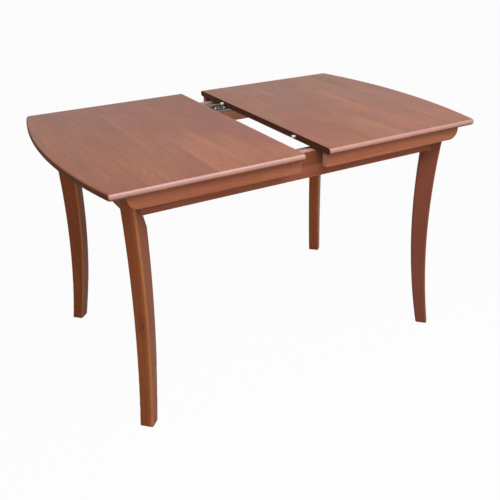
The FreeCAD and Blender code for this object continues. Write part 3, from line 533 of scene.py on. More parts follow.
# Noise of every wood, and the spans in which it turns from none to full.
DRIFT = Layer(drawn_out(1.1, 7.0), 2.0, 0.5)
RIPPLE = Layer(drawn_out(5.0, 40.0), 2.0, 0.5)
FIBRE = Layer(drawn_out(8.0, 330.0))
STREAK = Layer(drawn_out(2.4, 70.0), rough=0.55)
CLOUD = Layer(drawn_out(2.6, 5.0), 4.0)
BAND = Layer(drawn_out(1.8, 19.0), rough=0.55)
FLECK = Layer(drawn_out(60.0, 1100.0), 1.0, 0.5)
PATCH = Layer(drawn_out(4.0, 9.0), rough=0.55)
EDGE_WEAR = Layer(even(38.0), rough=0.65)
STRAY_SCUFF = Layer(even(2.5), 1.0, 0.5)
SCUFF_STROKE = Layer((75.0, 210.0, 1.0), 2.0, 0.5)
LATE_SPAN = (-0.2, 1.0)
LATE_MEAN = 0.4
FLECK_SPAN = (0.6, 0.75)
PATCH_SPAN = (0.42, 0.66)
EDGE_WEAR_SPAN = (0.3, 0.7)
STRAY_SCUFF_SPAN = (0.56, 0.7)
SCUFF_STROKE_SPAN = (0.58, 0.72)

# Parts of a face's normal between which it starts to count as one of its kind and fully does.
LEVEL_TURN = (0.86, 0.99)
UPPER_TURN = (0.9, 0.99)
UNDER_TURN = (-0.45, -0.1)
NOSE_UP = (-0.55, 0.3)
NOSE_ACROSS = (0.2, 0.6)
NOSE_ALONG = (0.25, 0.7)
ARRIS_ACROSS = (0.72, 0.88)
WORN_EDGE_TURN = (0.015, 0.16)

# Place times normal, below which a face looks into the table.
INNER_REACH = (-0.12, -0.03)
FRESH_REACH = (-0.03, 0.03)


@dataclass(frozen=True)
class Grain:
    """Grain of a board: its noise and rings, and the figure that they make together."""

    ripple: Wire
    late: Wire
    fibre: Wire
    cloud: Wire
    fleck: Wire
    patch: Wire
    figure: Wire


@dataclass(frozen=True)
class Faces:
    """Masks, from 0 to 1, of a piece's faces by the way they face."""

    end: Wire
    level: Wire
    under: Wire
    upper: Wire
    nose: Wire
    arris: Wire


@dataclass(frozen=True)
class WoodFinish:
    """Stained and lacquered wood."""

    name: str
    light: Colour
    dark: Colour
    pore: Colour
    # Colour of worn edges and scuffs, and of the painted highlights and sheen.
    rubbed: Colour
    end_grain: Colour
    tint: Colour
    fresh_end: Colour | None = None
    inner: Colour | None = None
    run: Run = Run.ALONG_TABLE
    soaked: Run | None = None
    shift: Point = (0.0, 0.0, 0.0)
    stave_width: float = 0.0
    stave_share: float = 0.0
    stave_start: float = 0.37
    stave_along: float = 1.7
    stave_deep: float = 0.011
    ring_pitch: float = 0.0065
    ring_across: float = 0.013
    ring_depth: float = 0.07
    ring_sway: Span = (0.05, 0.02)
    ring_ripple: float = 2.5
    ring_share: float = 0.25
    fibre_share: float = 0.9
    cloud_share: float = 0.5
    band_share: float = 0.4
    tint_share: float = 0.25
    fleck_share: float = 0.42
    end_turn: Span = (0.55, 0.93)
    end_share: float = 0.9
    end_contrast: float = 1.2
    end_mean: float = 0.4
    # Shares of the rubbed colour: a painted highlight on the top's long rounded edges, a rubbed finish with
    # painted sheen on up-facing faces, and a painted highlight with wear on the legs' front and back edges.
    nose_painted_highlight: float = 0.0
    upper_sheen_and_wear: float = 0.0
    arris_highlight_and_wear: float = 0.0
    edge_radius: float = 0.0015
    rubbed_share: float = 0.5
    least_rubbed: float = 0.4
    # Heights above which faces darken towards the pore colour: painted shade under the nose and under the
    # skirt.
    painted_shade_heights: Span | None = None
    painted_shade_share: float = 0.4
    scuffs: float = 0.0
    scuff_spot: Span = (-0.447, -0.315)
    scuff_reach: float = 0.075
    scuff_fade: Span = (0.25, 1.0)
    stray_shift: Point = (3.1, 7.7, 0.0)
    stray_share: float = 0.5
    knot: Knot | None = None
    roughness: float = 0.45
    cloud_dulls: float = 0.22
    fleck_dulls: float = 0.12
    end_dulls: float = 0.25
    under_dulls: float = 0.4
    scuffs_dull: float = 0.2
    specular: float = 0.2
    lacquer: float = 0.3
    nose_lacquer: float = 0.3
    lacquer_roughness: float = 0.3
    fibre_height: float = 0.25
    late_height: float = 0.125
    fleck_depth: float = 0.5
    plain_height: float = 0.5
    relief: float = 0.00007

    def _fibres(self, where: Wire) -> tuple[Wire, Wire, Wire]:
        """Place along the fibres, across them and in depth.

        Args:
            where: Place on the piece.

        Returns:
            The three lengths, in metres.
        """
        if self.run is Run.DOWN_LEG:
            return LEG_SHAPE.fibres(where)
        x, y, z = (where + self.shift).split()
        return (y, x, z) if self.run is Run.ACROSS_TABLE else (x, y, z)

    def _grain(self, bench: Bench) -> Grain:
        """Fibres, rings, clouds and flecks, with a new start in each stave of a glued panel.

        Args:
            bench: Bench of the material.

        Returns:
            The grain.
        """
        along, across, depth = self._fibres(bench.place)
        tone: Wire | float = 0.0
        if self.stave_width:
            pick = bench.chance((across / self.stave_width + self.stave_start).floor())
            along = along + pick * self.stave_along
            depth = depth + pick * self.stave_deep
            tone = (pick - MEAN) * self.stave_share
        board = bench.join(along, across, depth)
        drift = bench.noise(board, DRIFT) - MEAN
        ripple = bench.noise(board, RIPPLE) - MEAN
        heart_across = across + drift * self.ring_sway[0] + self.ring_across
        heart_depth = depth - self.ring_depth + drift * self.ring_sway[1]
        radius = (heart_across * heart_across + heart_depth * heart_depth).root()
        rings = (radius * (2 * math.pi / self.ring_pitch) + ripple * self.ring_ripple).sine()
        late = rings.step(*LATE_SPAN)
        fibre, streak, cloud, band = (bench.noise(board, layer) for layer in (FIBRE, STREAK, CLOUD, BAND))
        figure = ((fibre - MEAN) * self.fibre_share + (streak - MEAN) * self.fibre_share
                  + (late - LATE_MEAN) * self.ring_share + (cloud - MEAN) * self.cloud_share
                  + (band - MEAN) * self.band_share + tone + MEAN)
        fleck = bench.noise(board, FLECK).step(*FLECK_SPAN)
        patch = bench.noise(board, PATCH).step(*PATCH_SPAN)
        return Grain(ripple, late, fibre, cloud, fleck, patch, figure)

    def _faces(self, bench: Bench) -> Faces:
        """Tell the piece's faces apart.

        Args:
            bench: Bench of the material.

        Returns:
            Their masks.
        """
        facing = bench.normal.split()
        along, across, up = abs(facing[0]), abs(facing[1]), facing[2]
        level = abs(up).step(*LEVEL_TURN)
        nose = (up.step(*NOSE_UP) * (1 - level) * across.step(*NOSE_ACROSS)
                * (1 - along.step(*NOSE_ALONG)))
        arris = across.step(*ARRIS_ACROSS)
        if self.run is Run.DOWN_LEG:
            # On the legs the painted highlight spreads onto the outer face.
            arris = bench.maths("MAXIMUM", arris, LEG_SHAPE.painted_highlight_band(bench))
        end = abs(facing[FIBRE_AXIS[self.soaked or self.run]]).step(*self.end_turn)
        return Faces(end, level, 1 - up.step(*UNDER_TURN), up.step(*UPPER_TURN), nose, arris)

    def _fresh_colour(self, bench: Bench, grain: Grain, faces: Faces) -> Wire:
        """Colour before any wear: figure, knot, flecks, inner face, lightened partly as painted fill light,
        and end grain.

        Args:
            bench: Bench of the material.
            grain: Grain of the board.
            faces: Masks of the piece's faces.

        Returns:
            The colour.
        """
        colour = bench.mix(grain.figure, self.light, self.dark)
        colour = bench.mix(grain.patch * self.tint_share, colour, self.tint)
        if self.knot:
            colour = self.knot.paint(bench, colour, self.pore, grain.ripple)
        colour = bench.mix(grain.fleck * self.fleck_share, colour, self.pore)
        reach = bench.normal.dot(bench.place)
        # Inner faces get a pale colour: bare wood, lightened further as painted fill light.
        if self.inner:
            sunk = bench.mix(grain.figure, self.inner, deeper(self.inner))
            colour = bench.mix(1 - reach.step(*INNER_REACH), colour, sunk)
        soak = (grain.fibre - MEAN) * self.end_contrast + self.end_mean
        ends = bench.mix(soak, self.end_grain, deeper(self.end_grain))
        colour = bench.mix(faces.end * self.end_share, colour, ends)
        if self.fresh_end:
            colour = bench.mix(faces.end * (1 - reach.step(*FRESH_REACH)), colour, self.fresh_end)
        return colour

    def _wear_and_painted_light(self, bench: Bench, faces: Faces, soft: Wire, colour: Wire) -> Wire:
        """Wear and painted light: painted highlight on the nose, rubbed finish with painted sheen on upper
        faces, painted highlight with wear on leg edges, painted shade under the top, and rubbed edges.

        Args:
            bench: Bench of the material.
            faces: Masks of the piece's faces.
            soft: Normal with rounded edges.
            colour: Colour before the wear.

        Returns:
            The worn colour.
        """
        for mask, share in (
            (faces.nose, self.nose_painted_highlight),
            (faces.upper, self.upper_sheen_and_wear),
            (faces.arris, self.arris_highlight_and_wear),
        ):
            if share:
                colour = bench.mix(mask * share, colour, self.rubbed)
        # Painted shade: faces above these heights darken, under the nose and under the skirt.
        if self.painted_shade_heights:
            seam = bench.place.split()[2].step(*self.painted_shade_heights) * (1 - faces.level)
            colour = bench.mix(seam * self.painted_shade_share, colour, self.pore)
        edge = bench.edges(soft, *WORN_EDGE_TURN)
        uneven = bench.noise(bench.place, EDGE_WEAR).step(*EDGE_WEAR_SPAN)
        wear = uneven * (1 - self.least_rubbed) + self.least_rubbed
        return bench.mix(edge * wear * self.rubbed_share, colour, self.rubbed)

    def _scuff_marks(self, bench: Bench) -> Wire:
        """Mask of faint scuffs round the spot where the table is used most.

        Args:
            bench: Bench of the material.

        Returns:
            The mask, from 0 to 1.
        """
        x, y, _ = bench.place.split()
        off_x = (x - self.scuff_spot[0]) / self.scuff_reach
        off_y = (y - self.scuff_spot[1]) / self.scuff_reach
        near = 1 - (off_x * off_x + off_y * off_y).root().step(*self.scuff_fade)
        stray = bench.noise(bench.place + self.stray_shift, STRAY_SCUFF).step(*STRAY_SCUFF_SPAN)
        strokes = bench.noise(bench.place, SCUFF_STROKE).step(*SCUFF_STROKE_SPAN)
        return strokes * bench.maths("MAXIMUM", near, stray * self.stray_share)

    def material(self) -> bpy.types.Material:
        """Material of this finish.

        Returns:
            The material.
        """
        bench = Bench(bpy.data.materials.new(self.name))
        grain = self._grain(bench)
        faces = self._faces(bench)
        soft = bench.rounded(self.edge_radius)
        colour = self._wear_and_painted_light(bench, faces, soft, self._fresh_colour(bench, grain, faces))
        rough = ((grain.cloud - MEAN) * self.cloud_dulls + grain.fleck * self.fleck_dulls
                 + faces.end * self.end_dulls + faces.under * self.under_dulls + self.roughness)
        if self.scuffs:
            marks = self._scuff_marks(bench) * faces.level
            colour = bench.mix(marks * self.scuffs, colour, self.rubbed)
            rough = rough + marks * self.scuffs_dull
        shine: Wire | float = self.lacquer
        if self.nose_painted_highlight:
            shine = faces.nose * (self.nose_lacquer - self.lacquer) + self.lacquer
        height = (grain.fibre * self.fibre_height + grain.late * self.late_height
                  - grain.fleck * self.fleck_depth + self.plain_height)
        return bench.finish({
            "Base Color": colour,
            "Roughness": rough,
            "Normal": bench.bump(height, self.relief, soft),
            "Coat Weight": (1 - faces.end) * (1 - faces.under) * shine,
            "Coat Roughness": self.lacquer_roughness,
            "Specular IOR Level": self.specular,
        })


METAL_CLOUD = Layer(even(45.0), 4.0, 0.65)
METAL_GRIT = Layer(even(900.0), 2.0)
METAL_LINES = Layer(drawn_out(6.0, 1500.0), 2.0, 0.5)
METAL_CHIP = Layer(even(190.0), 2.0)
SMUDGE_SPAN = (0.42, 0.72)
CHIP_SPAN = (0.56, 0.64)


@dataclass(frozen=True)
class MetalFinish:
    """Plated, blackened or polished metal."""

    name: str
    colour: Colour
    stain: Colour
    metallic: float = 1.0
    roughness: float = 0.35
    drawn: float = 0.0
    edge_radius: float = 0.0004
    edge_turn: Span = (0.02, 0.2)
    edge_share: float = 0.6
    bright: Colour = (0.8, 0.8, 0.8)
    chips: float = 0.0
    smudge_share: float = 0.55
    grit_share: float = 0.3
    cloud_dulls: float = 0.25
    grit_height: float = 0.4
    relief: float = 0.00004

    def material(self) -> bpy.types.Material:
        """Material of this finish.

        Returns:
            The material.
        """
        bench = Bench(bpy.data.materials.new(self.name))
        cloud, grit, lines = (
            bench.noise(bench.place, layer) for layer in (METAL_CLOUD, METAL_GRIT, METAL_LINES))
        dirt = cloud.step(*SMUDGE_SPAN) * self.smudge_share + (grit - MEAN) * self.grit_share
        colour = bench.mix(dirt, self.colour, self.stain)
        soft = bench.rounded(self.edge_radius)
        colour = bench.mix(bench.edges(soft, *self.edge_turn) * self.edge_share, colour, self.bright)
        if self.chips:
            worn = bench.noise(bench.place, METAL_CHIP).step(*CHIP_SPAN)
            colour = bench.mix(worn * self.chips, colour, self.bright)
        height = grit * self.grit_height + lines * self.drawn
        return bench.finish({
            "Base Color": colour,
            "Metallic": self.metallic,
            "Roughness": (cloud - MEAN) * self.cloud_dulls + (lines - MEAN) * self.drawn + self.roughness,
            "Normal": bench.bump(height, self.relief, soft),
        })


@dataclass(frozen=True)
class PlasticFinish:
    """Moulded nylon, rubbed along the table where the tops slide on it."""

    name: str
    colour: Colour
    worn: Colour
    cloud: Layer = Layer(even(60.0))
    grit: Layer = Layer(even(1400.0), 2.0)
    rub: Layer = Layer(drawn_out(20.0, 300.0), 2.0, 0.5)
    rub_span: Span = (0.5, 0.75)
    cloud_share: float = 0.5
    rub_share: float = 0.4
    rub_dulls: float = 0.2
    roughness: float = 0.45
    edge_radius: float = 0.0008
    relief: float = 0.00003
    scatter: float = 0.05
    scatter_scale: float = 0.002

    def material(self) -> bpy.types.Material:
        """Material of this finish.

        Returns:
            The material.
        """
        bench = Bench(bpy.data.materials.new(self.name))
        cloud = bench.noise(bench.place, self.cloud)
        grit = bench.noise(bench.place, self.grit)
        rubbed = bench.noise(bench.place, self.rub).step(*self.rub_span)
        wear = cloud * self.cloud_share + rubbed * self.rub_share
        return bench.finish({
            "Base Color": bench.mix(wear, self.colour, self.worn),
            "Roughness": rubbed * self.rub_dulls + self.roughness,
            "Normal": bench.bump(grit, self.relief, bench.rounded(self.edge_radius)),
            "Subsurface Weight": self.scatter,
            "Subsurface Scale": self.scatter_scale,
        })


@dataclass(frozen=True)
class FeltFinish:
    """Pressed wool felt."""

    name: str
    colour: Colour
    dark: Colour
    fuzz: Layer = Layer(even(1600.0), rough=0.7)
    strand: Layer = Layer((500.0, 1700.0, 900.0), rough=0.7)
    matting: Layer = Layer(even(90.0))
    fuzz_share: float = 0.6
    matting_share: float = 0.5
    lightening: float = 0.1
    matting_dulls: float = 0.1
    roughness: float = 0.9
    relief: float = 0.0004
    sheen: float = 0.35
    sheen_roughness: float = 0.5

    def material(self) -> bpy.types.Material:
        """Material of this finish.

        Returns:
            The material.
        """
        bench = Bench(bpy.data.materials.new(self.name))
        fuzz, strands, matted = (
            bench.noise(bench.place, layer) for layer in (self.fuzz, self.strand, self.matting))
        darkness = fuzz * self.fuzz_share + matted * self.matting_share - self.lightening
        return bench.finish({
            "Base Color": bench.mix(darkness, self.colour, self.dark),
            "Roughness": matted * self.matting_dulls + self.roughness,
            "Normal": bench.bump((fuzz + strands) / 2, self.relief),
            "Sheen Weight": self.sheen,
            "Sheen Roughness": self.sheen_roughness,
        })


Finish = WoodFinish | MetalFinish | PlasticFinish | FeltFinish

TABLE_STAIN = stains(
    light=(160, 93, 50), dark=(121, 68, 35), pore=(80, 40, 20), rubbed=(200, 150, 122),
    end_grain=(84, 44, 28), tint=(136, 74, 54))
LEG_STAIN = stains(
    light=(166, 90, 46), dark=(118, 58, 28), pore=(72, 33, 15), rubbed=(196, 128, 80),
    end_grain=(84, 44, 28), tint=(142, 62, 26))
# Mauve copy of the leg stain for the front right leg: painted sheen.
SHEEN_TINTED_LEG_STAIN = stains(
    light=(144, 80, 57), dark=(120, 65, 50), pore=(98, 52, 42), rubbed=(152, 95, 70), tint=(134, 69, 50))
# Lighter copy of the leg stain for the back right leg: painted light where the table shades it.
LIGHT_PAINTED_LEG_STAIN = stains(light=(190, 104, 60), dark=(144, 74, 42), tint=(166, 78, 38))
BARE_STAIN = stains(
    light=(222, 186, 142), dark=(190, 148, 104), pore=(150, 108, 70), rubbed=(232, 204, 168),
    end_grain=(184, 142, 100), tint=(206, 160, 112))
PIN_STAIN = stains(
    light=(250, 234, 230), dark=(236, 212, 204), pore=(186, 150, 120), rubbed=(250, 238, 224),
    end_grain=(244, 222, 206), tint=(234, 200, 186))
# On the top, rubbed is a pinkish white: the painted highlight on the nose, and the colour of scuffs and
# worn edges.
TOP_STAIN = TABLE_STAIN | stains(
    light=(182, 106, 65), dark=(140, 78, 47), rubbed=(216, 175, 168), tint=(150, 80, 60))
SKIRT_STAIN = TABLE_STAIN | stains(
    light=(180, 104, 68), dark=(154, 87, 56), end_grain=(124, 70, 40), fresh_end=(200, 140, 124))
# Aprons: rubbed is the pinkish white of the up-facing faces, a rubbed finish with painted sheen.
APRON_STAIN = TABLE_STAIN | stains(
    light=(178, 106, 78), dark=(152, 88, 64), rubbed=(232, 180, 164), inner=(236, 176, 136))
# Darker copy of the apron stain for the end aprons: painted shade under the top's overhang.
SHADE_PAINTED_END_APRON_STAIN = APRON_STAIN | stains(light=(136, 72, 42), dark=(108, 55, 30))
PANEL = {
    "run": Run.ACROSS_TABLE, "soaked": Run.ALONG_TABLE, "stave_width": 0.0889, "stave_share": 0.22,
    "ring_pitch": 0.009, "ring_share": 0.2, "fibre_share": 1.0, "cloud_share": 0.8, "band_share": 1.0}

# The top's long rounded edges get a painted highlight.
TOP_WOOD = WoodFinish(
    "top wood", **TOP_STAIN, **PANEL, nose_lacquer=1.0, nose_painted_highlight=0.6, lacquer=0.22, specular=0.16,
    tint_share=0.75, end_turn=(0.4, 0.85), rubbed_share=0.1, scuffs=0.4, shift=(0.0, 0.0, -0.7))
LEAF_WOOD = WoodFinish(
    "leaf wood", **TOP_STAIN, **PANEL, tint_share=0.6, rubbed_share=0.3, shift=(2.1, 0.4, 0.3))
# Painted shade: the skirts darken under the nose.
SKIRT_WOOD = WoodFinish("skirt wood", **SKIRT_STAIN, painted_shade_heights=(0.718, 0.729), shift=(0.3, 0.0, -0.66))
# Long aprons: painted shade under the skirts; their upper faces get a rubbed finish with painted sheen.
LONG_APRON_WOOD = WoodFinish(
    "long apron wood", **APRON_STAIN, upper_sheen_and_wear=0.8, lacquer=0.03, specular=0.06, painted_shade_heights=(0.678, 0.690),
    shift=(1.2, 0.06, -0.64))
# End aprons: painted shade all over from the darker stain; their upper faces get a rubbed finish with
# painted sheen.
SHADE_PAINTED_END_APRON_WOOD = WoodFinish(
    "end apron wood", **SHADE_PAINTED_END_APRON_STAIN, run=Run.ACROSS_TABLE, upper_sheen_and_wear=0.8, lacquer=0.0, specular=0.03,
    shift=(0.4, 2.0, -0.6))
# The legs' edges, and their front and back arrises most, get a lighter colour: wear with a painted
# highlight.
LEG_WOOD = WoodFinish(
    "leg wood", **LEG_STAIN, run=Run.DOWN_LEG, ring_pitch=0.011, ring_depth=0.045, ring_share=0.12,
    fibre_share=0.55, cloud_share=0.8, edge_radius=0.003, rubbed_share=0.7, arris_highlight_and_wear=0.65, lacquer=0.08,
    specular=0.1)
KNOTTY_LEG_WOOD = replace(LEG_WOOD, name="knotty leg wood", knot=Knot())
SHEEN_TINTED_LEG_WOOD = replace(LEG_WOOD, name="cool leg wood", **SHEEN_TINTED_LEG_STAIN, arris_highlight_and_wear=0.3)
LIGHT_PAINTED_LEG_WOOD = replace(LEG_WOOD, name="pale leg wood", **LIGHT_PAINTED_LEG_STAIN)
BARE_BEECH = WoodFinish(
    "bare beech", **BARE_STAIN, roughness=0.6, lacquer=0.0, specular=0.4, shift=(0.9, 1.3, 0.2))
BARE_BEECH_ACROSS = replace(BARE_BEECH, name="bare beech across", run=Run.ACROSS_TABLE)
PIN_WOOD = WoodFinish(
    "pin wood", **PIN_STAIN, roughness=0.4, ring_share=0.1, fibre_share=0.5, edge_radius=0.0008)
ZINC = MetalFinish("zinc plate", (0.34, 0.34, 0.31), (0.24, 0.24, 0.20), roughness=0.42, drawn=0.25)
RACK_ZINC = MetalFinish(
    "rack zinc", (0.30, 0.29, 0.26), (0.17, 0.16, 0.13), roughness=0.45, drawn=0.3, chips=0.4)
# Bright chips on the guard: chipped black finish, and painted glints of the gear teeth that the guard
# hides.
GUARD_BLACK = MetalFinish(
    "guard black", (0.08, 0.07, 0.065), (0.15, 0.12, 0.10), metallic=0.7, roughness=0.4,
    bright=(0.72, 0.66, 0.62), chips=0.85)
SCREW_ZINC = MetalFinish("screw zinc", (0.66, 0.66, 0.64), (0.45, 0.44, 0.40), roughness=0.3)
BLACK_OXIDE = MetalFinish(
    "black oxide", (0.045, 0.045, 0.05), (0.09, 0.075, 0.06), metallic=0.7, roughness=0.42,
    bright=(0.3, 0.3, 0.3))
BRIGHT_STEEL = MetalFinish("bright steel", (0.72, 0.72, 0.72), (0.4, 0.38, 0.35), roughness=0.22)
BRASS = MetalFinish(
    "brass plate", (0.75, 0.53, 0.24), (0.48, 0.31, 0.13), roughness=0.28, bright=(0.95, 0.78, 0.45))
NYLON = PlasticFinish("nylon", stain(232, 230, 222), stain(196, 190, 176))
FELT = FeltFinish("felt", stain(62, 84, 66), stain(36, 52, 42))


# Table -------------------------------------------------------


class Wardrobe:
    """Makes each finish once and puts it on the table's pieces."""

    def __init__(self) -> None:
        """Start with no finish made."""
        self.made: dict[str, bpy.types.Material] = {}

    def material(self, finish: Finish) -> bpy.types.Material:
        """Material of a finish, made at its first use.

        Args:
            finish: Finish wanted.

        Returns:
            The material.
        """
        if finish.name not in self.made:
            self.made[finish.name] = finish.material()
        return self.made[finish.name]

    def dress(self, outfit: Mapping[Finish, Iterable[str]]) -> None:
        """Put finishes on pieces of the frame.

        Args:
            outfit: Names of the pieces that get each finish.
        """
        for finish, nodes in outfit.items():
            for node in nodes:
                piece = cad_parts[node]
                if not piece.material_slots:
                    piece.data.materials.append(None)
                for slot in piece.material_slots:
                    slot.material = self.material(finish)
                log.info("%s: %s", node, finish.name)


def sides(pattern: str) -> list[str]:
    """Names of a piece on all four corners; the pattern holds {face} and {side}."""
    places = [(face, side) for face in ("front", "back") for side in ("left", "right")]
    return [pattern.format(face=face, side=side) for face, side in places]


@dataclass(frozen=True)
class HalfTop:
    """Evenly rounded mesh of one half of the top, on the sizes of the piece that it stands for."""

    name: str
    body: str
    replaced: str
    side: int
    hole_radius: float
    hole_depth: float
    inner: float = 0.04065
    bowed: float = 0.6405
    half_width: float = 0.400
    bow: float = 0.050
    corner_radius: float = 0.009
    edge_radius: float = 0.0085
    low: float = 0.731
    high: float = 0.750
    hole_across: float = 0.225
    corner_steps: int = 8
    bow_steps: int = 72
    edge_steps: int = 10
    hole_steps: int = 24

    def _outline(self) -> list[tuple[Vector, Vector]]:
        """Points round the half from its front seam to its back seam, each with its outward normal.

        Returns:
            The points and normals, seen from above.
        """
        bow_radius = (self.bow ** 2 + self.half_width ** 2) / (2 * self.bow)
        bow_x = self.bowed - bow_radius
        corner_y = self.half_width - self.corner_radius
        corner_x = bow_x + math.sqrt((bow_radius - self.corner_radius) ** 2 - corner_y ** 2)
        turn = math.atan2(corner_y, corner_x - bow_x)

        def arc(
            x: float, y: float, radius: float, start: float, end: float, steps: int
        ) -> list[tuple[Vector, Vector]]:
            """Points and outward normals along an arc, with both its ends."""
            normals = [pointing(start + (end - start) * step / steps) for step in range(steps + 1)]
            return [(Vector((x, y)) + radius * normal, normal) for normal in normals]

        corner = (self.corner_radius, -QUARTER_TURN, -turn, self.corner_steps)
        other_corner = (self.corner_radius, turn, QUARTER_TURN, self.corner_steps)
        return [
            (Vector((self.inner, -self.half_width)), Vector((0.0, -1.0))),
            *arc(corner_x, -corner_y, *corner),
            *arc(bow_x, 0.0, bow_radius, -turn, turn, self.bow_steps)[1:-1],
            *arc(corner_x, corner_y, *other_corner),
            (Vector((self.inner, self.half_width)), Vector((0.0, 1.0))),
        ]

    def _levels(self) -> list[tuple[float, float, float]]:
        """Rings of points up the rounded edge, from the underside to the upper face.

        Returns:
            Inset, height and tilt of the normal of each ring.
        """
        lower, upper = self.low + self.edge_radius, self.high - self.edge_radius
        rings = []
        for start, middle in ((-QUARTER_TURN, lower), (0.0, upper)):
            for step in range(self.edge_steps + 1):
                tilt = start + QUARTER_TURN * step / self.edge_steps
                rise = middle + self.edge_radius * math.sin(tilt)
                rings.append((self.edge_radius * (1 - math.cos(tilt)), rise, tilt))
        return rings

    def _add_holes(self, mesh: bmesh.types.BMesh, rim: list[bmesh.types.BMEdge]) -> None:
        """Close the seam face round its two round holes, and line the holes.

        Args:
            mesh: Mesh with all but the seam face.
            rim: Edges round the seam face.
        """
        middle = (self.low + self.high) / 2
        turns = [2 * math.pi * step / self.hole_steps for step in range(self.hole_steps)]
        circle = [self.hole_radius * pointing(turn) for turn in turns]
        edges = list(rim)
        for across in (-self.hole_across, self.hole_across):
            mouth, end = (
                [mesh.verts.new((self.side * x, across + off_y, middle + off_z)) for off_y, off_z in circle]
                for x in (self.inner, self.inner + self.hole_depth))
            for here in range(self.hole_steps):
                ahead = (here + 1) % self.hole_steps
                mesh.faces.new((mouth[here], mouth[ahead], end[ahead], end[here])).smooth = True
                edges.append(mesh.edges.get((mouth[here], mouth[ahead])))
            mesh.faces.new(end)
        bmesh.ops.triangle_fill(mesh, use_beauty=True, use_dissolve=False, edges=edges)

    def _add_edge(self, mesh: bmesh.types.BMesh) -> tuple[list[list[bmesh.types.BMVert]], list[Vector]]:
        """Add the points and faces of the rounded edge.

        Args:
            mesh: Mesh to add them to.

        Returns:
            The rings of points from the underside to the upper face, and every point's normal.
        """
        outline = self._outline()
        rings = []
        normals = []
        for inset, height, tilt in self._levels():
            rings.append([])
            for point, outward in outline:
                spot = point - outward * inset
                flat = outward * math.cos(tilt)
                rings[-1].append(mesh.verts.new((self.side * spot.x, spot.y, height)))
                normals.append(Vector((self.side * flat.x, flat.y, math.sin(tilt))))
        for below, above in zip(rings, rings[1:]):
            for here in range(len(outline) - 1):
                mesh.faces.new((below[here], below[here + 1], above[here + 1], above[here])).smooth = True
        return rings, normals

    @staticmethod
    def _set_normals(data: bpy.types.Mesh, normals: Sequence[Vector]) -> None:
        """Give the rounded edge its true normals; flat faces and holes keep their own.

        Args:
            data: Mesh of the half.
            normals: True normal of each point of the edge, which are the mesh's first points.
        """
        own = []
        for face in data.polygons:
            for corner in face.vertices:
                rounded = face.use_smooth and corner < len(normals)
                own.append(normals[corner] if rounded else face.normal.copy())
        data.normals_split_custom_set(own)

    def build(self, material: bpy.types.Material) -> None:
        """Add the half, in its place and on its body.

        Args:
            material: Material that it gets.
        """
        mesh = bmesh.new()
        rings, normals = self._add_edge(mesh)
        mesh.faces.new(rings[0])
        mesh.faces.new(rings[-1])
        ends = [ring[0] for ring in rings] + [ring[-1] for ring in reversed(rings)]
        rim = [mesh.edges.get((here, ahead)) for here, ahead in zip(ends, ends[1:] + ends[:1])]
        self._add_holes(mesh, rim)
        bmesh.ops.recalc_face_normals(mesh, faces=mesh.faces)
        data = bpy.data.meshes.new(self.name)
        mesh.to_mesh(data)
        mesh.free()
        data.materials.append(material)
        self._set_normals(data, normals)
        half = bpy.data.objects.new(self.name, data)
        bpy.context.scene.collection.objects.link(half)
        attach(half, self.body)
        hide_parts(self.replaced)
        log.info("%s stands for %s", self.name, self.replaced)


HALF_TOPS = (
    HalfTop("half_top_left", "left_half", "top_left", -1, hole_radius=0.0044, hole_depth=0.014),
    HalfTop("half_top_right", "right_half", "top_right", 1, hole_radius=0.004, hole_depth=0.020),
)


@dataclass
class TableTop:
    """Two bowed halves, their skirts and the pins that line them up."""

    wardrobe: Wardrobe
    halves: tuple[HalfTop, ...] = HALF_TOPS

    def build(self) -> None:
        """Add the halves and dress the rest."""
        self.wardrobe.dress({TOP_WOOD: ("top_left", "top_right")})
        for half in self.halves:
            half.build(self.wardrobe.material(TOP_WOOD))
        self.wardrobe.dress({SKIRT_WOOD: sides("skirt_{face}_{side}"), PIN_WOOD: ("alignment_pins",)})


@dataclass
class Underframe:
    """Aprons, legs, corner blocks, bolts and glide pads."""

    wardrobe: Wardrobe

    def build(self) -> None:
        """Dress the fixed frame."""
        self.wardrobe.dress({
            LONG_APRON_WOOD: ("apron_front", "apron_back"),
            # The end aprons and two of the legs get copies with painted shade, painted sheen and painted
            # light.
            SHADE_PAINTED_END_APRON_WOOD: ("apron_left", "apron_right"),
            KNOTTY_LEG_WOOD: ("leg_front_left",),
            SHEEN_TINTED_LEG_WOOD: ("leg_front_right",),
            LEG_WOOD: ("leg_back_left",),
            LIGHT_PAINTED_LEG_WOOD: ("leg_back_right",),
            BARE_BEECH: sides("corner_block_{face}_{side}"),
            SCREW_ZINC: ("hanger_bolts", "bolt_washers", "bolt_nuts"),
            NYLON: ("glide_pads",),
        })


@dataclass
class Slides:
    """Rails, runners, racks and pinions that keep both halves in step."""

    wardrobe: Wardrobe

    def build(self) -> None:
        """Dress the slides."""
        self.wardrobe.dress({
            ZINC: ("rail_front", "rail_back", *sides("runner_{face}_{side}")),
            RACK_ZINC: sides("rack_{face}_{side}"),
            BLACK_OXIDE: ("brackets_left", "brackets_right"),
            BRIGHT_STEEL: ("pinion_front", "pinion_back"),
            GUARD_BLACK: ("pinion_guard_front", "pinion_guard_back"),
            SCREW_ZINC: ("guard_posts", "pinion_axles", "rail_screws", "guard_screws",
                         "bracket_screws_left", "bracket_screws_right"),
        })


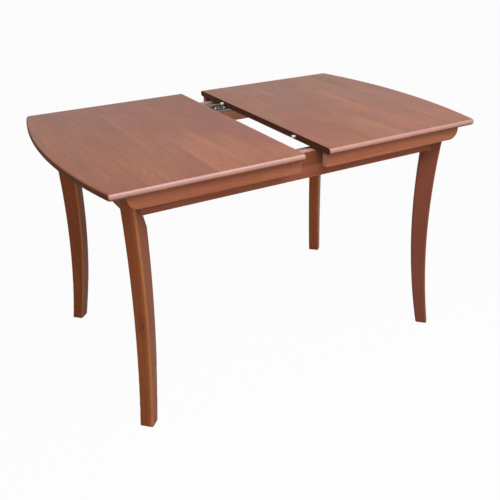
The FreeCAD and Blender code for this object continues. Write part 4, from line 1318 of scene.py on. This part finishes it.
@dataclass
class ButterflyLeaf:
    """Folded leaf, its hinges and pins, and the bearers and ledges that carry it."""

    wardrobe: Wardrobe

    def build(self) -> None:
        """Dress the leaf and what carries it."""
        self.wardrobe.dress({
            LEAF_WOOD: ("leaf_wing_lower", "leaf_wing_upper"),
            BRASS: ("hinge_leaves_lower", "hinge_leaves_upper", "hinge_pins", "hinge_screws"),
            PIN_WOOD: ("leaf_pins",),
            BARE_BEECH_ACROSS: ("bearer_outer", "bearer_inner"),
            BARE_BEECH: ("ledger_front", "ledger_back", "ledger_stops"),
            FELT: ("bearer_felts",),
            SCREW_ZINC: ("ledger_screws",),
        })


# Studio ------------------------------------------------------


def turned(right: Vector, up: Vector, back: Vector) -> Matrix:
    """Turn that takes the three axes of a lamp or camera to these directions."""
    return Matrix((right, up, back)).transposed().to_4x4()


@dataclass(frozen=True)
class Softbox:
    """Rectangular lamp aimed at a point, with its length along the table."""

    name: str
    at: Point
    aim: Point
    length: float
    width: float
    radiance: float

    def hang(self) -> None:
        """Add the lamp to the scene."""
        lamp = bpy.data.lights.new(self.name, "AREA")
        lamp.shape = "RECTANGLE"
        lamp.size = self.length
        lamp.size_y = self.width
        lamp.energy = self.radiance * math.pi * self.length * self.width
        holder = bpy.data.objects.new(self.name, lamp)
        bpy.context.scene.collection.objects.link(holder)
        behind = (Vector(self.at) - Vector(self.aim)).normalized()
        side = behind.cross(TABLE_AXIS).normalized()
        holder.matrix_world = Matrix.Translation(self.at) @ turned(side.cross(behind), side, behind)
        log.info("%s hung", self.name)


@dataclass
class Studio:
    """Pale floor, soft light and plain surroundings."""

    floor_half: float = 40.0
    floor_colour: Colour = (0.78, 0.76, 0.74)
    floor_lift: float = 0.96
    sky: Colour = (0.95, 0.97, 1.0)
    sky_strength: float = 0.25
    lamps: list[Softbox] = field(default_factory=lambda: [
        Softbox("overhead strip", (0.1, -1.4, 2.2), (0.0, -0.2, 0.75), 2.0, 0.7, 6.4),
        Softbox("front strip", (-1.3, -2.9, 2.2), (-0.4, -0.3, 0.65), 1.6, 0.6, 4.2),
        Softbox("low front softbox", (-1.2, -3.8, 1.4), (-0.3, 0.0, 0.6), 2.2, 1.4, 1.5),
    ])

    @staticmethod
    def _seen(bench: Bench) -> Wire:
        """Tell the rays that are seen from those that light the table.

        Args:
            bench: Bench of a material or world.

        Returns:
            One for rays from the camera, from gloss and through glass, else nought.
        """
        path = bench.node("ShaderNodeLightPath")
        rays = [Wire(bench, path.outputs[name]) for name in
                ("Is Camera Ray", "Is Glossy Ray", "Is Transmission Ray")]
        return bench.maths("MINIMUM", rays[0] + rays[1] + rays[2], 1.0)

    def _lay_floor(self) -> None:
        """Add the floor, which keeps a faint shadow."""
        half = self.floor_half
        mesh = bpy.data.meshes.new("floor")
        square = [(-half, -half, 0.0), (half, -half, 0.0), (half, half, 0.0), (-half, half, 0.0)]
        mesh.from_pydata(square, [], [(0, 1, 2, 3)])
        floor = bpy.data.objects.new("floor", mesh)
        bpy.context.scene.collection.objects.link(floor)
        bench = Bench(bpy.data.materials.new("floor"))
        matte = bench.node("ShaderNodeBsdfDiffuse", inputs={"Color": self.floor_colour})
        white = bench.node("ShaderNodeEmission", inputs={"Color": WHITE, "Strength": 1.0})
        lift = self._seen(bench) * self.floor_lift
        mixed = bench.node("ShaderNodeMixShader", inputs={
            0: lift, 1: Wire(bench, matte.outputs[0]), 2: Wire(bench, white.outputs[0])})
        bench.node("ShaderNodeOutputMaterial", inputs={0: Wire(bench, mixed.outputs[0])})
        mesh.materials.append(bench.owner)

    def _light_surroundings(self) -> None:
        """Give the world its soft light and its white look."""
        world = bpy.data.worlds.new("surroundings")
        bpy.context.scene.world = world
        bench = Bench(world)
        light = {"Color": self.sky, "Strength": self.sky_strength}
        soft = bench.node("ShaderNodeBackground", inputs=light)
        white = bench.node("ShaderNodeBackground", inputs={"Color": WHITE, "Strength": 1.0})
        mixed = bench.node("ShaderNodeMixShader", inputs={
            0: self._seen(bench), 1: Wire(bench, soft.outputs[0]), 2: Wire(bench, white.outputs[0])})
        bench.node("ShaderNodeOutputWorld", inputs={0: Wire(bench, mixed.outputs[0])})

    def build(self) -> None:
        """Set up the floor, the surroundings and the lamps."""
        bpy.context.scene.view_settings.view_transform = "Standard"
        self._lay_floor()
        self._light_surroundings()
        for lamp in self.lamps:
            lamp.hang()


@dataclass(frozen=True)
class Viewpoint:
    """Camera that looks down on the table from the left and the front; angles in radians."""

    at: Point = (-0.99852, -1.78080, 1.32085)
    turn: float = -0.515589
    fall: float = 0.472492
    roll: float = -0.0152118
    focal: float = 655.395
    sensor: float = 36.0
    reach: float = 200.0

    def build(self) -> None:
        """Add the camera and make it the scene's camera."""
        level_back = pointing(self.turn - QUARTER_TURN).to_3d()
        back = math.cos(self.fall) * level_back + Vector((0.0, 0.0, math.sin(self.fall)))
        right = pointing(self.turn).to_3d()
        up = back.cross(right)
        right, up = (math.cos(self.roll) * right + math.sin(self.roll) * up,
                     math.cos(self.roll) * up - math.sin(self.roll) * right)
        data = bpy.data.cameras.new("camera")
        data.sensor_width = self.sensor
        data.lens = self.focal * self.sensor / IMAGE_SIDE
        data.clip_end = self.reach
        camera = bpy.data.objects.new("camera", data)
        bpy.context.scene.collection.objects.link(camera)
        camera.matrix_world = Matrix.Translation(self.at) @ turned(right, up, back)
        bpy.context.scene.camera = camera
        log.info("camera set")


def main() -> None:
    """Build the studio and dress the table."""
    logging.basicConfig(level=logging.INFO, format="%(name)s: %(message)s")
    Viewpoint().build()
    Studio().build()
    wardrobe = Wardrobe()
    for part in (TableTop(wardrobe), Underframe(wardrobe), Slides(wardrobe), ButterflyLeaf(wardrobe)):
        part.build()
        log.info("%s done", type(part).__name__)


if __name__ == "__main__":
    main()
